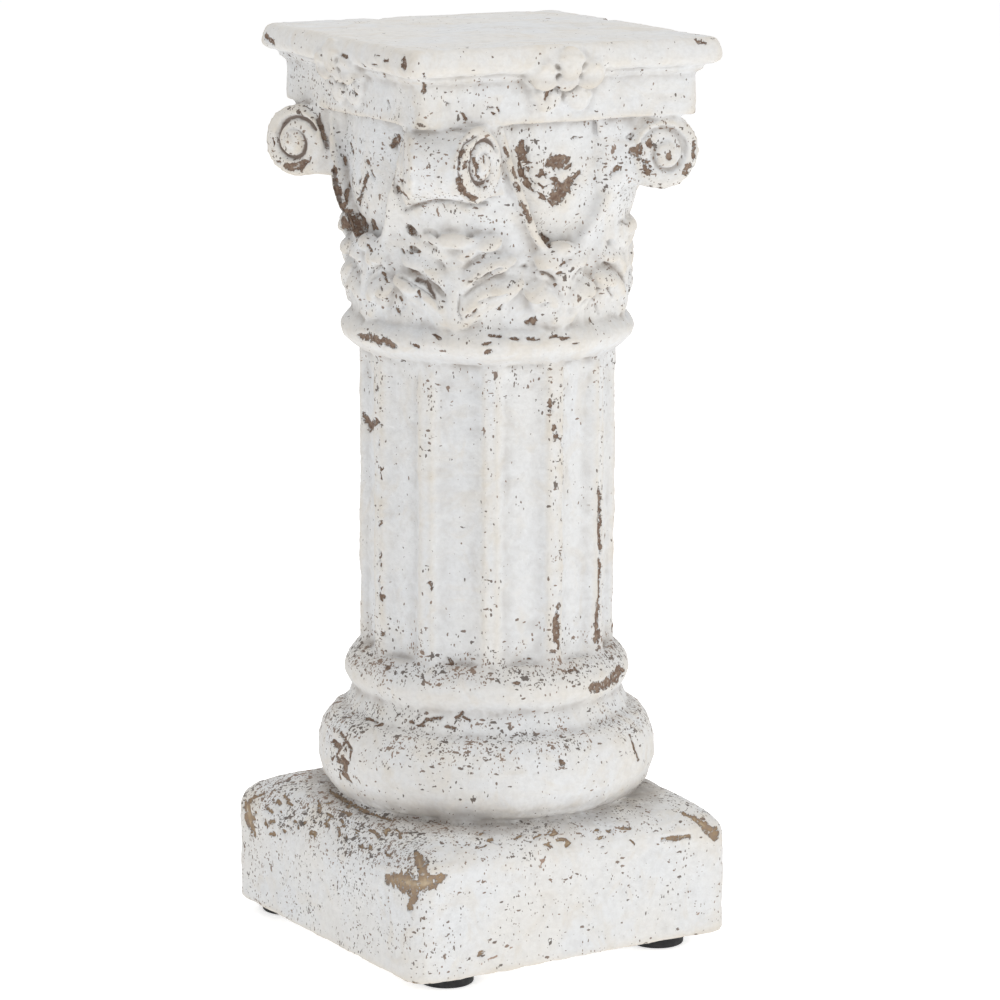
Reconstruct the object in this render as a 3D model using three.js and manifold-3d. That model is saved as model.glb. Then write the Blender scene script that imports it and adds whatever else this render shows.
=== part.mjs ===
// A small cast cement column: square plinth on four rubber pads, moulded base, fluted shaft and a
// carved leaf capital with corner volutes under a square abacus. Millimetres, +Z up. The origin is
// on the table, under the middle of the plinth, and the plinth's sides lie along X and Y.
import * as THREE from "three";
import { mergeVertices } from "three/addons/utils/BufferGeometryUtils.js";
import Module from "manifold-3d";

// Rubber pads, each placed by its distance from the two plinth faces nearest to it.
const PAD_RADIUS = 9;
const PAD_HEIGHT = 3.7;
const PAD_EDGE = 0.8;
const PAD_GAP = 0.3;
const PADS = [
  { name: "foot_front_left", sideX: -1, sideY: -1, insetX: 18.7, insetY: 12.5 },
  { name: "foot_front_right", sideX: 1, sideY: -1, insetX: 20.5, insetY: 12.5 },
  { name: "foot_back_left", sideX: -1, sideY: 1, insetX: 14.1, insetY: 12 },
  { name: "foot_back_right", sideX: 1, sideY: 1, insetX: 16.5, insetY: 14.5 },
];

// Plinth: a square block whose top swells up to the base moulding. Each side and each corner
// starts to round at its own depth below the shoulder.
const PLINTH_SIDE = 121;
const PLINTH_HEIGHT = 39;
const PLINTH_CROWN = 6;
const PLINTH_CORNER = 6;
const PLINTH_FOOT_ROUND = 1.2;
const SIDE_DROP = { front: 4.5, right: 6, back: 5, left: 13 };
const CORNER_DROP = { frontLeft: 2.5, frontRight: 5.5, backLeft: 5, backRight: 4 };

// The round parts stand a little off the middle of the plinth.
const AXIS_OFFSET_X = 2.6;
const AXIS_OFFSET_Y = -0.5;

// Base mouldings, each radius given as how far it stands out from the shaft's ridges.
const TORUS_HEIGHT = 28;
const TORUS_WAIST_PROJECTION = 5.4;
const TORUS_BULGE = 8.8;
const NECK_HEIGHT = 7.2;
const NECK_TOP_PROJECTION = 2.4;
const LOWER_RING_HEIGHT = 14.4;
const LOWER_RING_PEAK = 5.8;
const LOWER_RING_PROJECTION = 5.4;

// Shaft.
const SHAFT_RADIUS = 42.1;
const SHAFT_LENGTH = 99.2;
const FLUTES = 12;
const FLUTE_DEPTH = 3;
const FLUTE_RIDGE_WIDTH = 4.6;

// Ring between shaft and capital.
const UPPER_RING_HEIGHT = 12.2;
const UPPER_RING_PEAK = 7;
const UPPER_RING_PROJECTION = 6.1;

// Capital: a bell with a sunk panel on each face, edged by a raised rim.
const BELL_HEIGHT = 66;
const BELL_FOOT_PROJECTION = 2.3;
const BELL_TOP_PROJECTION = 7;
const BELL_SWELL_START = 24;
const BELL_SWELL_END = 42;
const PANEL_HEIGHT = 42;
const PANEL_TOP_WIDTH = 46;
const PANEL_TAPER = 0.45;
const PANEL_DEPTH = 3;
const PANEL_RIM_WIDTH = 2;
const PANEL_RIM_STAND = 2.2;

// Corner volutes: rolls that narrow outwards, with a coil cut in both ends. The one at the front
// right stands turned, with its right end set back.
const VOLUTE_RADIUS = 12;
const VOLUTE_TIP_WIDTH = 17.4;
const VOLUTE_SPLAY = THREE.MathUtils.degToRad(20);
const VOLUTE_OVERHANG = 2.3;
const VOLUTE_TURN_FRONT_RIGHT = THREE.MathUtils.degToRad(15);
const VOLUTE_SINK = 0.4;
const VOLUTE_HOLLOW = 1.1;
const VOLUTE_EDGE_ROUND = 2.2;
const VOLUTE_WEB_DEPTH = 10.8;
const VOLUTE_WEB_INSET = 2;
const COIL_TURNS = 1.3;
const COIL_START = THREE.MathUtils.degToRad(-120);
const COIL_EYE = 3.1;
const COIL_GROOVE = 1.7;
const COIL_DEPTH = 1.6;

// Leaves around the foot of the bell: large ones under the volutes, small ones between them.
const LEAF_RELIEF = 2.2;
const LEAF_CREASE = 0.35;
const LEAF_RIB_WIDTH = 6.4;
const LEAF_LOBE_RISE = 0.5;
const LEAF_LOBE_GAP = 0.86;
const LEAF_TAPER = 0.5;
const LEAF_SINK = 0.8;
const LEAF_DEPTH = 6;
const LARGE_LEAF = { lobes: 3, reach: 21.5, height: 31 };
const SMALL_LEAF = { lobes: 2, reach: 12.5, height: 27 };

// Abacus: fascia, small ledge and rounded lip. It sits turned a little on the capital.
const ABACUS_TURN = THREE.MathUtils.degToRad(-4.34);
const FASCIA_HEIGHT = 13.4;
const FASCIA_OVERHANG = 0.9;
const ABACUS_CORNER = 2.6;
const LEDGE_PROJECTION = 1.8;
const LEDGE_HEIGHT = 2.6;
const LIP_HEIGHT = 9;
const LIP_PROJECTION = 6.1;
const LIP_LOWER_ROUND = 3;
const LIP_TOP_SETBACK = 2.7;

// Flower on the middle of each abacus side, over lip and fascia.
const FLOWER_WIDTH = 29;
const FLOWER_HEIGHT = 20.5;
const FLOWER_PETALS = 5;
const FLOWER_DROP = 1.4;
const FLOWER_RELIEF = 3;
const FLOWER_NOTCH = 0.8;
const FLOWER_LEAN = 5;

// Facets.
const ROUND_STEPS = 32;
const FLUTE_STEPS = 6;
const TORUS_STEPS = 7;
const ARC_STEPS = 3;
const SIDE_STEPS = 4;
const DOME_STEPS = 6;
const BELL_STEPS = 4;
const PANEL_STEPS = 5;
const ROLL_STEPS = 16;
const COIL_STEPS = 9;
const PAD_STEPS = 20;

// Heights of the joints between the parts, from the table up.
const plinthBottom = PAD_HEIGHT + PAD_GAP;
const plinthShoulder = plinthBottom + PLINTH_HEIGHT;
const torusBottom = plinthShoulder + PLINTH_CROWN;
const neckBottom = torusBottom + TORUS_HEIGHT;
const lowerRingBottom = neckBottom + NECK_HEIGHT;
const shaftBottom = lowerRingBottom + LOWER_RING_HEIGHT;
const upperRingBottom = shaftBottom + SHAFT_LENGTH;
const bellBottom = upperRingBottom + UPPER_RING_HEIGHT;
const abacusBottom = bellBottom + BELL_HEIGHT;
const ledgeBottom = abacusBottom + FASCIA_HEIGHT;
const lipBottom = ledgeBottom + LEDGE_HEIGHT;
const lipTop = lipBottom + LIP_HEIGHT;

// Widths that follow from the shaft.
const torusWaist = SHAFT_RADIUS + TORUS_WAIST_PROJECTION;
const bellFoot = SHAFT_RADIUS + BELL_FOOT_PROJECTION;
const bellTop = SHAFT_RADIUS + BELL_TOP_PROJECTION;
const fasciaHalf = bellTop + FASCIA_OVERHANG;
const ledgeHalf = fasciaHalf + LEDGE_PROJECTION;
const lipHalf = fasciaHalf + LIP_PROJECTION;
const voluteCentre = fasciaHalf * Math.SQRT2 + VOLUTE_OVERHANG - VOLUTE_RADIUS;
const voluteHeight = abacusBottom - VOLUTE_RADIUS + VOLUTE_SINK;

const wasm = await Module();
wasm.setup();

const QUARTER = Math.PI / 2;
const AXIS_UP = new THREE.Vector3(0, 0, 1);
const mix = THREE.MathUtils.lerp;

// A closed geometry as a solid that can be joined and cut.
function solid(geometry) {
  const bare = geometry.index ? geometry.toNonIndexed() : geometry.clone();
  bare.deleteAttribute("normal");
  bare.deleteAttribute("uv");
  const merged = mergeVertices(bare, 1e-4);
  const corners = merged.index.array;
  const faces = [];
  for (let i = 0; i < corners.length; i += 3) {
    const [a, b, c] = corners.slice(i, i + 3);
    if (a !== b && b !== c && c !== a) faces.push(a, b, c);
  }
  return new wasm.Manifold(
    new wasm.Mesh({
      numProp: 3,
      vertProperties: merged.attributes.position.array,
      triVerts: new Uint32Array(faces),
    }),
  );
}

function join(solids) {
  return solids.reduce((whole, piece) => whole.add(piece));
}

function geometryOf(made) {
  const mesh = made.getMesh();
  const geometry = new THREE.BufferGeometry();
  geometry.setAttribute("position", new THREE.BufferAttribute(mesh.vertProperties, 3));
  geometry.setIndex(new THREE.BufferAttribute(mesh.triVerts, 1));
  const faceted = geometry.toNonIndexed();
  faceted.computeVertexNormals();
  return faceted;
}

// A closed skin over rings of points that run anticlockwise seen from the last ring.
function loft(rings) {
  const count = rings[0].length;
  const faces = [];
  for (let level = 0; level + 1 < rings.length; level++) {
    for (let i = 0; i < count; i++) {
      const here = level * count + i;
      const next = level * count + ((i + 1) % count);
      faces.push(here, next, next + count, here, next + count, here + count);
    }
  }
  const top = (rings.length - 1) * count;
  for (let i = 1; i + 1 < count; i++) {
    faces.push(0, i + 1, i, top, top + i, top + i + 1);
  }
  const geometry = new THREE.BufferGeometry().setFromPoints(rings.flat());
  geometry.setIndex(faces);
  return geometry;
}

// A profile of [radius, height] pairs spun round the column's axis, closed on the axis.
function turned(profile, steps = ROUND_STEPS) {
  const first = profile[0];
  const last = profile[profile.length - 1];
  const points = [[0, first[1]], ...profile, [0, last[1]]];
  const outline = points.map(([radius, height]) => new THREE.Vector2(radius, height));
  return new THREE.LatheGeometry(outline, steps).rotateX(QUARTER);
}

// A round moulding that swells from one radius to its peak and back to another.
function bead(bottom, peak, top, fromRadius, peakRadius, toRadius) {
  const points = [];
  for (let i = 0; i <= ARC_STEPS; i++) {
    const swell = Math.sin((QUARTER * i) / ARC_STEPS);
    points.push([mix(fromRadius, peakRadius, swell), mix(bottom, peak, i / ARC_STEPS)]);
  }
  for (let i = 1; i <= ARC_STEPS; i++) {
    const swell = Math.cos((QUARTER * i) / ARC_STEPS);
    points.push([mix(toRadius, peakRadius, swell), mix(peak, top, i / ARC_STEPS)]);
  }
  return points;
}

// One ring of a square with round corners, cut finely along its sides.
function roundedSquare(half, corner, z, sideSteps) {
  const points = [];
  for (let quarter = 0; quarter < 4; quarter++) {
    for (let i = 0; i <= ARC_STEPS; i++) {
      const turn = (i / ARC_STEPS) * QUARTER;
      const x = half - corner + corner * Math.cos(turn);
      const y = half - corner + corner * Math.sin(turn);
      points.push(new THREE.Vector3(x, y, z).applyAxisAngle(AXIS_UP, quarter * QUARTER));
    }
    for (let i = 1; i < sideSteps; i++) {
      const along = mix(half - corner, corner - half, i / sideSteps);
      points.push(new THREE.Vector3(along, half, z).applyAxisAngle(AXIS_UP, quarter * QUARTER));
    }
  }
  return points;
}

// A closed solid behind a grid of points: rows run up, each from left to right seen from outside,
// and the grid's outer edge is drawn back to one point.
function shell(rows, back) {
  const width = rows[0].length;
  const last = rows.length - 1;
  const at = (row, column) => row * width + column;
  const faces = [];
  for (let row = 0; row < last; row++) {
    for (let column = 0; column + 1 < width; column++) {
      const corner = at(row, column);
      const across = at(row + 1, column + 1);
      faces.push(corner, at(row, column + 1), across, corner, across, at(row + 1, column));
    }
  }
  const edge = [];
  for (let column = 0; column + 1 < width; column++) edge.push(at(0, column));
  for (let row = 0; row < last; row++) edge.push(at(row, width - 1));
  for (let column = width - 1; column > 0; column--) edge.push(at(last, column));
  for (let row = last; row > 0; row--) edge.push(at(row, 0));
  const hub = rows.length * width;
  edge.forEach((corner, i) => faces.push(edge[(i + 1) % edge.length], corner, hub));
  const geometry = new THREE.BufferGeometry().setFromPoints([...rows.flat(), back]);
  geometry.setIndex(faces);
  return geometry;
}

// How far below the shoulder the plinth starts to round at a point of its outline.
function shoulderDrop(point) {
  const half = PLINTH_SIDE / 2;
  const onX = Math.abs(point.x) > Math.abs(point.y);
  const along = (onX ? point.y : point.x) / half;
  const side = onX ? (point.x > 0 ? "right" : "left") : point.y > 0 ? "back" : "front";
  const corner = (point.y > 0 ? "back" : "front") + (point.x > 0 ? "Right" : "Left");
  return mix(SIDE_DROP[side], CORNER_DROP[corner], along * along);
}

// The square block: rounded foot, upright walls and a top that domes up to the round moulding.
function plinth() {
  const half = PLINTH_SIDE / 2;
  const outline = roundedSquare(half, PLINTH_CORNER, 0, SIDE_STEPS);
  const rings = [];
  for (let i = 0; i <= ARC_STEPS; i++) {
    const turn = (i / ARC_STEPS) * QUARTER;
    const z = plinthBottom + PLINTH_FOOT_ROUND * (1 - Math.cos(turn));
    const shrunk = 1 - (PLINTH_FOOT_ROUND * (1 - Math.sin(turn))) / half;
    rings.push(outline.map(({ x, y }) => new THREE.Vector3(x * shrunk, y * shrunk, z)));
  }
  for (let i = 0; i <= DOME_STEPS; i++) {
    const turn = (i / DOME_STEPS) * QUARTER;
    rings.push(
      outline.map((point) => {
        const angle = Math.atan2(point.y, point.x);
        const x = AXIS_OFFSET_X + torusWaist * Math.cos(angle);
        const y = AXIS_OFFSET_Y + torusWaist * Math.sin(angle);
        const inward = 1 - Math.cos(turn);
        const z = mix(plinthShoulder - shoulderDrop(point), torusBottom, Math.sin(turn));
        return new THREE.Vector3(mix(point.x, x, inward), mix(point.y, y, inward), z);
      }),
    );
  }
  return loft(rings);
}

// Torus, sloping neck and lower ring in one turned profile that starts inside the plinth.
function baseMouldings() {
  const torusMiddle = torusBottom + TORUS_HEIGHT / 2;
  const profile = [[torusWaist, torusBottom - PLINTH_CROWN / 2]];
  for (let i = 0; i <= TORUS_STEPS; i++) {
    const turn = mix(-QUARTER, QUARTER, i / TORUS_STEPS);
    const radius = torusWaist + TORUS_BULGE * Math.cos(turn);
    profile.push([radius, torusMiddle + (TORUS_HEIGHT / 2) * Math.sin(turn)]);
  }
  const neckTop = SHAFT_RADIUS + NECK_TOP_PROJECTION;
  const peak = SHAFT_RADIUS + LOWER_RING_PROJECTION;
  const peakHeight = lowerRingBottom + LOWER_RING_PEAK;
  profile.push(...bead(lowerRingBottom, peakHeight, shaftBottom, neckTop, peak, SHAFT_RADIUS));
  return turned(profile);
}

// The shaft's cross-section: narrow ridges with a shallow curved flute between each two.
function flutedShaft() {
  const pitch = (2 * Math.PI) / FLUTES;
  const ridge = FLUTE_RIDGE_WIDTH / SHAFT_RADIUS;
  const outline = [];
  for (let flute = 0; flute < FLUTES; flute++) {
    const start = flute * pitch + ridge / 2;
    for (let i = 0; i <= FLUTE_STEPS; i++) {
      const across = (2 * i) / FLUTE_STEPS - 1;
      const angle = start + ((pitch - ridge) * i) / FLUTE_STEPS;
      const radius = SHAFT_RADIUS - FLUTE_DEPTH * (1 - across * across);
      outline.push(new THREE.Vector2(radius * Math.cos(angle), radius * Math.sin(angle)));
    }
  }
  const bottom = lowerRingBottom + LOWER_RING_PEAK;
  const depth = upperRingBottom + UPPER_RING_PEAK - bottom;
  const shape = new THREE.Shape(outline);
  return new THREE.ExtrudeGeometry(shape, { depth, bevelEnabled: false }).translate(0, 0, bottom);
}

function upperRing() {
  const peak = SHAFT_RADIUS + UPPER_RING_PROJECTION;
  const peakHeight = upperRingBottom + UPPER_RING_PEAK;
  return turned(bead(upperRingBottom, peakHeight, bellBottom, SHAFT_RADIUS, peak, bellFoot));
}

// The bell's radius at a height above its foot.
function bellRadius(height) {
  const swell = THREE.MathUtils.smoothstep(height, BELL_SWELL_START, BELL_SWELL_END);
  return mix(bellFoot, bellTop, swell);
}

// The bell, or the same form sunk by "sunk" for the floor of the panels.
function bell(sunk) {
  const profile = [[bellFoot - sunk, bellBottom - UPPER_RING_HEIGHT / 3]];
  for (let i = 0; i <= BELL_STEPS; i++) {
    const height = mix(BELL_SWELL_START, BELL_SWELL_END, i / BELL_STEPS);
    profile.push([bellRadius(height) - sunk, bellBottom + height]);
  }
  profile.push([bellTop - sunk, abacusBottom + FASCIA_HEIGHT / 3]);
  return turned(profile);
}

// An upright prism with a panel's outline, wide at the top and round at its foot, grown by "extra".
function panelPrism(extra) {
  const foot = abacusBottom - PANEL_HEIGHT - extra;
  const left = [];
  const right = [];
  for (let i = 1; i <= PANEL_STEPS; i++) {
    const share = (i / PANEL_STEPS) ** 2;
    const half = (PANEL_TOP_WIDTH / 2 + extra) * share ** PANEL_TAPER;
    const z = mix(foot, abacusBottom, share);
    left.unshift(new THREE.Vector2(-half, z));
    right.push(new THREE.Vector2(half, z));
  }
  const outline = [...left, new THREE.Vector2(0, foot), ...right];
  const depth = lipHalf;
  const geometry = new THREE.ExtrudeGeometry(new THREE.Shape(outline), {
    depth,
    bevelEnabled: false,
  });
  return geometry.rotateX(QUARTER);
}

// Half the width of a volute at a distance from the column's axis along the diagonal.
function voluteHalfWidth(distance) {
  const tip = voluteCentre + VOLUTE_RADIUS;
  return VOLUTE_TIP_WIDTH / 2 + (tip - distance) * Math.tan(VOLUTE_SPLAY);
}

// The groove of a coil as a flat shape, x outwards and y up from the middle of the volute.
function coilGroove() {
  const inner = [];
  const outer = [];
  for (let i = 0; i <= COIL_STEPS; i++) {
    const share = i / COIL_STEPS;
    const angle = COIL_START - share * COIL_TURNS * 2 * Math.PI;
    const start = VOLUTE_RADIUS - VOLUTE_EDGE_ROUND + COIL_GROOVE / 2;
    const radius = COIL_EYE + (start - COIL_EYE) * (1 - share) ** 1.6;
    const half = (COIL_GROOVE / 2) * mix(1, 0.6, share);
    const ray = new THREE.Vector2(Math.cos(angle), Math.sin(angle));
    inner.unshift(ray.clone().multiplyScalar(radius - half));
    outer.push(ray.clone().multiplyScalar(radius + half));
  }
  return new THREE.Shape([...outer, ...inner]);
}

// One volute on the +X diagonal: roll, web back to the bell and the two coils.
function volute() {
  const rim = [
    [1, VOLUTE_RADIUS - VOLUTE_EDGE_ROUND],
    [0.88, VOLUTE_RADIUS],
    [0.66, VOLUTE_RADIUS - VOLUTE_HOLLOW],
  ];
  const levels = [...rim, ...rim.map(([share, radius]) => [-share, radius]).reverse()];
  const rings = levels.map(([share, radius]) => {
    const ring = [];
    for (let i = 0; i < ROLL_STEPS; i++) {
      const angle = (2 * Math.PI * i) / ROLL_STEPS;
      const x = voluteCentre + radius * Math.cos(angle);
      const z = voluteHeight + radius * Math.sin(angle);
      ring.push(new THREE.Vector3(x, share * voluteHalfWidth(x), z));
    }
    return ring;
  });
  const roll = solid(loft(rings));

  const webStart = bellTop * 0.8;
  const webEnd = voluteCentre;
  const webBottom = voluteHeight - VOLUTE_WEB_DEPTH;
  const webTop = abacusBottom + VOLUTE_SINK / 2;
  const web = [webBottom, webTop].map((z) =>
    [
      [webStart, -1],
      [webEnd, -1],
      [webEnd, 1],
      [webStart, 1],
    ].map(([x, side]) => new THREE.Vector3(x, side * (voluteHalfWidth(x) - VOLUTE_WEB_INSET), z)),
  );

  let made = roll.add(solid(loft(web)));
  for (const side of [-1, 1]) {
    const out = new THREE.Vector3(Math.sin(VOLUTE_SPLAY), side * Math.cos(VOLUTE_SPLAY), 0);
    const along = new THREE.Vector3(Math.cos(VOLUTE_SPLAY), -side * Math.sin(VOLUTE_SPLAY), 0);
    const away = out.clone().multiplyScalar(-side);
    const middle = new THREE.Vector3(voluteCentre, side * voluteHalfWidth(voluteCentre), voluteHeight);
    const start = middle.addScaledVector(away, -COIL_DEPTH);
    const groove = new THREE.ExtrudeGeometry(coilGroove(), {
      depth: 2 * COIL_DEPTH,
      bevelEnabled: false,
    });
    groove.applyMatrix4(new THREE.Matrix4().makeBasis(along, AXIS_UP, away).setPosition(start));
    made = made.subtract(solid(groove));
  }
  return made;
}

// One leaf on the bell: a broad rib with lobes that fan up and out from it. Each lobe is a row
// of creases, a row of crests and a row that slopes back under the next lobe.
function leaf(angle, { lobes, reach, height }) {
  const rib = LEAF_RIB_WIDTH / 2 / reach;
  const columns = [-1, -0.86, -0.5, -rib, rib, 0.5, 0.86, 1];
  const onBell = (aside, up, stand) => {
    const radius = bellRadius(up);
    const turn = angle + aside / radius;
    const out = radius + stand;
    return new THREE.Vector3(out * Math.cos(turn), out * Math.sin(turn), bellBottom + up);
  };
  const lobeRows = [
    { up: 0, stand: LEAF_CREASE, width: LEAF_LOBE_GAP },
    { up: 0.22, stand: 1, width: 1 },
    { up: 0.68, stand: 0.85, width: 1 },
  ];
  const stem = height - LEAF_LOBE_RISE * reach * (1 - LEAF_TAPER);
  const row = (share, stand, width) => {
    const half = reach * width * (1 - LEAF_TAPER * share * share);
    return columns.map((column) => {
      const away = Math.abs(column);
      const up = share * stem + LEAF_LOBE_RISE * half * away;
      const onRib = away <= rib;
      const out = away === 1 ? -LEAF_SINK : LEAF_RELIEF * (onRib ? 1 : stand);
      return onBell(onRib ? (LEAF_RIB_WIDTH / 2) * Math.sign(column) : column * half, up, out);
    });
  };
  const rows = [columns.map((column) => onBell(column * reach * LEAF_LOBE_GAP, -1, -LEAF_SINK))];
  for (let lobe = 0; lobe < lobes; lobe++) {
    for (const { up, stand, width } of lobeRows) rows.push(row((lobe + up) / lobes, stand, width));
  }
  rows.push(row(1, 1, LEAF_LOBE_GAP));
  rows.push(columns.map((column) => onBell((column * reach * LEAF_TAPER) / 2, height + 1, -LEAF_SINK)));
  return shell(rows, onBell(0, height / 2, -LEAF_DEPTH));
}

// Fascia, ledge and lip as rounded squares laid over each other.
function abacus() {
  const levels = [
    [fasciaHalf - 0.6, abacusBottom],
    [fasciaHalf, abacusBottom + 0.6],
    [fasciaHalf, ledgeBottom],
    [ledgeHalf, ledgeBottom + LEDGE_HEIGHT * 0.4],
    [ledgeHalf, lipBottom],
  ];
  const widest = lipBottom + LIP_LOWER_ROUND;
  for (let i = 1; i <= ARC_STEPS; i++) {
    const turn = (QUARTER * i) / ARC_STEPS;
    levels.push([mix(ledgeHalf, lipHalf, Math.sin(turn)), mix(widest, lipBottom, Math.cos(turn))]);
  }
  for (let i = 1; i <= ARC_STEPS; i++) {
    const turn = (QUARTER * i) / ARC_STEPS;
    const half = lipHalf - LIP_TOP_SETBACK * (1 - Math.cos(turn));
    levels.push([half, mix(widest, lipTop, Math.sin(turn))]);
  }
  return loft(levels.map(([half, z]) => roundedSquare(half, ABACUS_CORNER, z, 1)));
}

// A flower for the middle of the side that faces +X: petals in an oval round a boss. It leans out
// with the abacus, from the fascia below to the lip above.
function flower() {
  const middleZ = lipTop - FLOWER_DROP - FLOWER_HEIGHT / 2;
  const back = fasciaHalf - FLOWER_RELIEF;
  const steps = 4 * FLOWER_PETALS;
  const point = (radius, step, stand) => {
    const angle = (2 * Math.PI * step) / steps;
    const y = (FLOWER_WIDTH / 2) * radius * Math.sin(angle);
    const z = middleZ + (FLOWER_HEIGHT / 2) * radius * Math.cos(angle);
    const lean = THREE.MathUtils.smoothstep(z, ledgeBottom - FLOWER_LEAN, lipBottom + FLOWER_LEAN);
    const ground = mix(fasciaHalf, lipHalf, lean);
    return new THREE.Vector3(stand === null ? back : ground + stand, y, z);
  };
  const circles = [
    { radius: 1, crest: null, valley: null },
    { radius: 1, crest: 0.05, valley: 0.05 },
    { radius: 0.84, crest: 0.8, valley: 0.3 },
    { radius: 0.55, crest: 0.9, valley: 0.4 },
    { radius: 0.34, crest: 0.5, valley: 0.4 },
    { radius: 0.2, crest: 1.15, valley: 1.15 },
  ];
  const rings = circles.map(({ radius, crest, valley }) => {
    const ring = [];
    for (let step = 0; step < steps; step++) {
      const petal = Math.sqrt(Math.abs(Math.cos((Math.PI * step) / 4)));
      const reach = radius > 0.5 ? radius * mix(FLOWER_NOTCH, 1, petal) : radius;
      const stand = crest === null ? null : FLOWER_RELIEF * mix(valley, crest, petal);
      ring.push(point(reach, -step, stand));
    }
    return ring;
  });
  return loft(rings);
}

// The volutes at the four corners, the front right one turned about the middle of its left end.
function volutes() {
  const made = volute();
  const end = [voluteCentre, -voluteHalfWidth(voluteCentre), 0];
  const turned = made
    .translate(end.map((value) => -value))
    .rotate([0, 0, THREE.MathUtils.radToDeg(VOLUTE_TURN_FRONT_RIGHT)])
    .translate(end);
  return [turned.rotate([0, 0, -45]), ...[45, 135, 225].map((angle) => made.rotate([0, 0, angle]))];
}

// The same solid at four places round the axis.
function fourTimes(made) {
  return [0, 90, 180, 270].map((degrees) => made.rotate([0, 0, degrees]));
}

function onShaftAxis(geometry) {
  return solid(geometry.translate(AXIS_OFFSET_X, AXIS_OFFSET_Y, 0));
}

// The whole casting.
function column() {
  const rimAreas = join(fourTimes(solid(panelPrism(PANEL_RIM_WIDTH))));
  const rims = solid(bell(-PANEL_RIM_STAND)).intersect(rimAreas);
  const panels = join(fourTimes(solid(panelPrism(0))));
  const carvedBell = solid(bell(0)).add(rims).subtract(panels);
  const top = join([solid(abacus()), ...fourTimes(solid(flower()))]);
  const leaves = [];
  for (let quarter = 0; quarter < 4; quarter++) {
    leaves.push(solid(leaf(quarter * QUARTER, SMALL_LEAF)));
    leaves.push(solid(leaf((quarter + 0.5) * QUARTER, LARGE_LEAF)));
  }
  const capital = join([
    carvedBell,
    solid(bell(PANEL_DEPTH)),
    ...volutes(),
    ...leaves,
    top.rotate([0, 0, THREE.MathUtils.radToDeg(ABACUS_TURN)]),
  ]).translate([AXIS_OFFSET_X, AXIS_OFFSET_Y, 0]);
  const round = [baseMouldings(), flutedShaft(), upperRing()].map(onShaftAxis);
  return join([solid(plinth()), ...round, capital]);
}

// One rubber disc with its lower edge taken off.
function pad() {
  const profile = [
    [PAD_RADIUS - PAD_EDGE, 0],
    [PAD_RADIUS, PAD_EDGE],
    [PAD_RADIUS, PAD_HEIGHT],
  ];
  return turned(profile, PAD_STEPS);
}

const cement = new THREE.MeshStandardMaterial({ color: 0xd9d6d1, roughness: 0.9, metalness: 0 });
const rubber = new THREE.MeshStandardMaterial({ color: 0x17181a, roughness: 0.75, metalness: 0 });

const part = new THREE.Group();
const casting = new THREE.Mesh(geometryOf(column()), cement);
casting.name = "column";
part.add(casting);
for (const { name, sideX, sideY, insetX, insetY } of PADS) {
  const foot = new THREE.Mesh(pad(), rubber);
  foot.name = name;
  foot.position.set(sideX * (PLINTH_SIDE / 2 - insetX), sideY * (PLINTH_SIDE / 2 - insetY), 0);
  part.add(foot);
}

export default part;
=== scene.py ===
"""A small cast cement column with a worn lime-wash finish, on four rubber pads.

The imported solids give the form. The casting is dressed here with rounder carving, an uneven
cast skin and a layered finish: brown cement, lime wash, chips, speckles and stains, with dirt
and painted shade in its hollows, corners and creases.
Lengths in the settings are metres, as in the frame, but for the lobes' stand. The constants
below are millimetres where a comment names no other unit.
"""

import math

import bpy
import numpy as np
from mathutils import Matrix, Vector


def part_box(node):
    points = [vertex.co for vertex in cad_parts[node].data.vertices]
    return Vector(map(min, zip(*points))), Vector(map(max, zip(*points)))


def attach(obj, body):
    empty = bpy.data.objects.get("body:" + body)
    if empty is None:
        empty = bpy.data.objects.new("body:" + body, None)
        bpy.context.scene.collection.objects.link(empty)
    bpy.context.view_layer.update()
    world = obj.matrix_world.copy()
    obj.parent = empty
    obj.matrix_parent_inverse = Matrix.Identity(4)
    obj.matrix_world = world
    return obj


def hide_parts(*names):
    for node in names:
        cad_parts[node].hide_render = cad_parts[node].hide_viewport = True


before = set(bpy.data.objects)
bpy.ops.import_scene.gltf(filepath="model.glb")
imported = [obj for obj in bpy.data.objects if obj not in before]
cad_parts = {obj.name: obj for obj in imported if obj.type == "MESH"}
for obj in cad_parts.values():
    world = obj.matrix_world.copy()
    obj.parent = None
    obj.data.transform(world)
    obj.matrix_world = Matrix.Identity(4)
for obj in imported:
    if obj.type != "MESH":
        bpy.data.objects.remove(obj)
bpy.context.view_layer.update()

bl_info = {
    "name": "Decorative Column",
    "version": (1, 0, 0),
    "blender": (4, 5, 0),
    "location": "View3D > Sidebar > Column",
    "description": "Builds a worn, lime-washed cement column and its studio stage",
    "category": "Add Mesh",
}

MM = 0.001

# Places on the casting, in millimetres, as the solids have them.
AXIS_X, AXIS_Y = 2.6, -0.5
PLINTH_TOP = 49.0
SHAFT_BOTTOM, SHAFT_TOP = 98.6, 197.8
SHAFT_RADIUS, FLUTE_DEPTH = 42.1, 3.0
BELL_BOTTOM, BELL_HEIGHT = 210.0, 66.0
BELL_FOOT_RADIUS, BELL_TOP_RADIUS = 44.4, 49.1
BELL_SWELL = (24.0, 42.0)
PANEL_HEIGHT, PANEL_HALF_TOP, PANEL_TAPER = 42.0, 23.0, 0.45
FASCIA_HALF, LIP_HALF = 50.0, 56.1
LEDGE_BOTTOM, LIP_BOTTOM, LIP_TOP = 289.4, 292.0, 301.0
ABACUS_TURN = math.radians(-4.34)
VOLUTE_DISTANCE, VOLUTE_HEIGHT, VOLUTE_RADIUS = 61.01, 264.4, 12.0
VOLUTE_TIP_HALF, VOLUTE_SPLAY = 8.7, math.radians(20)
FRONT_RIGHT_VOLUTE_TURN = math.radians(15)

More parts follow.
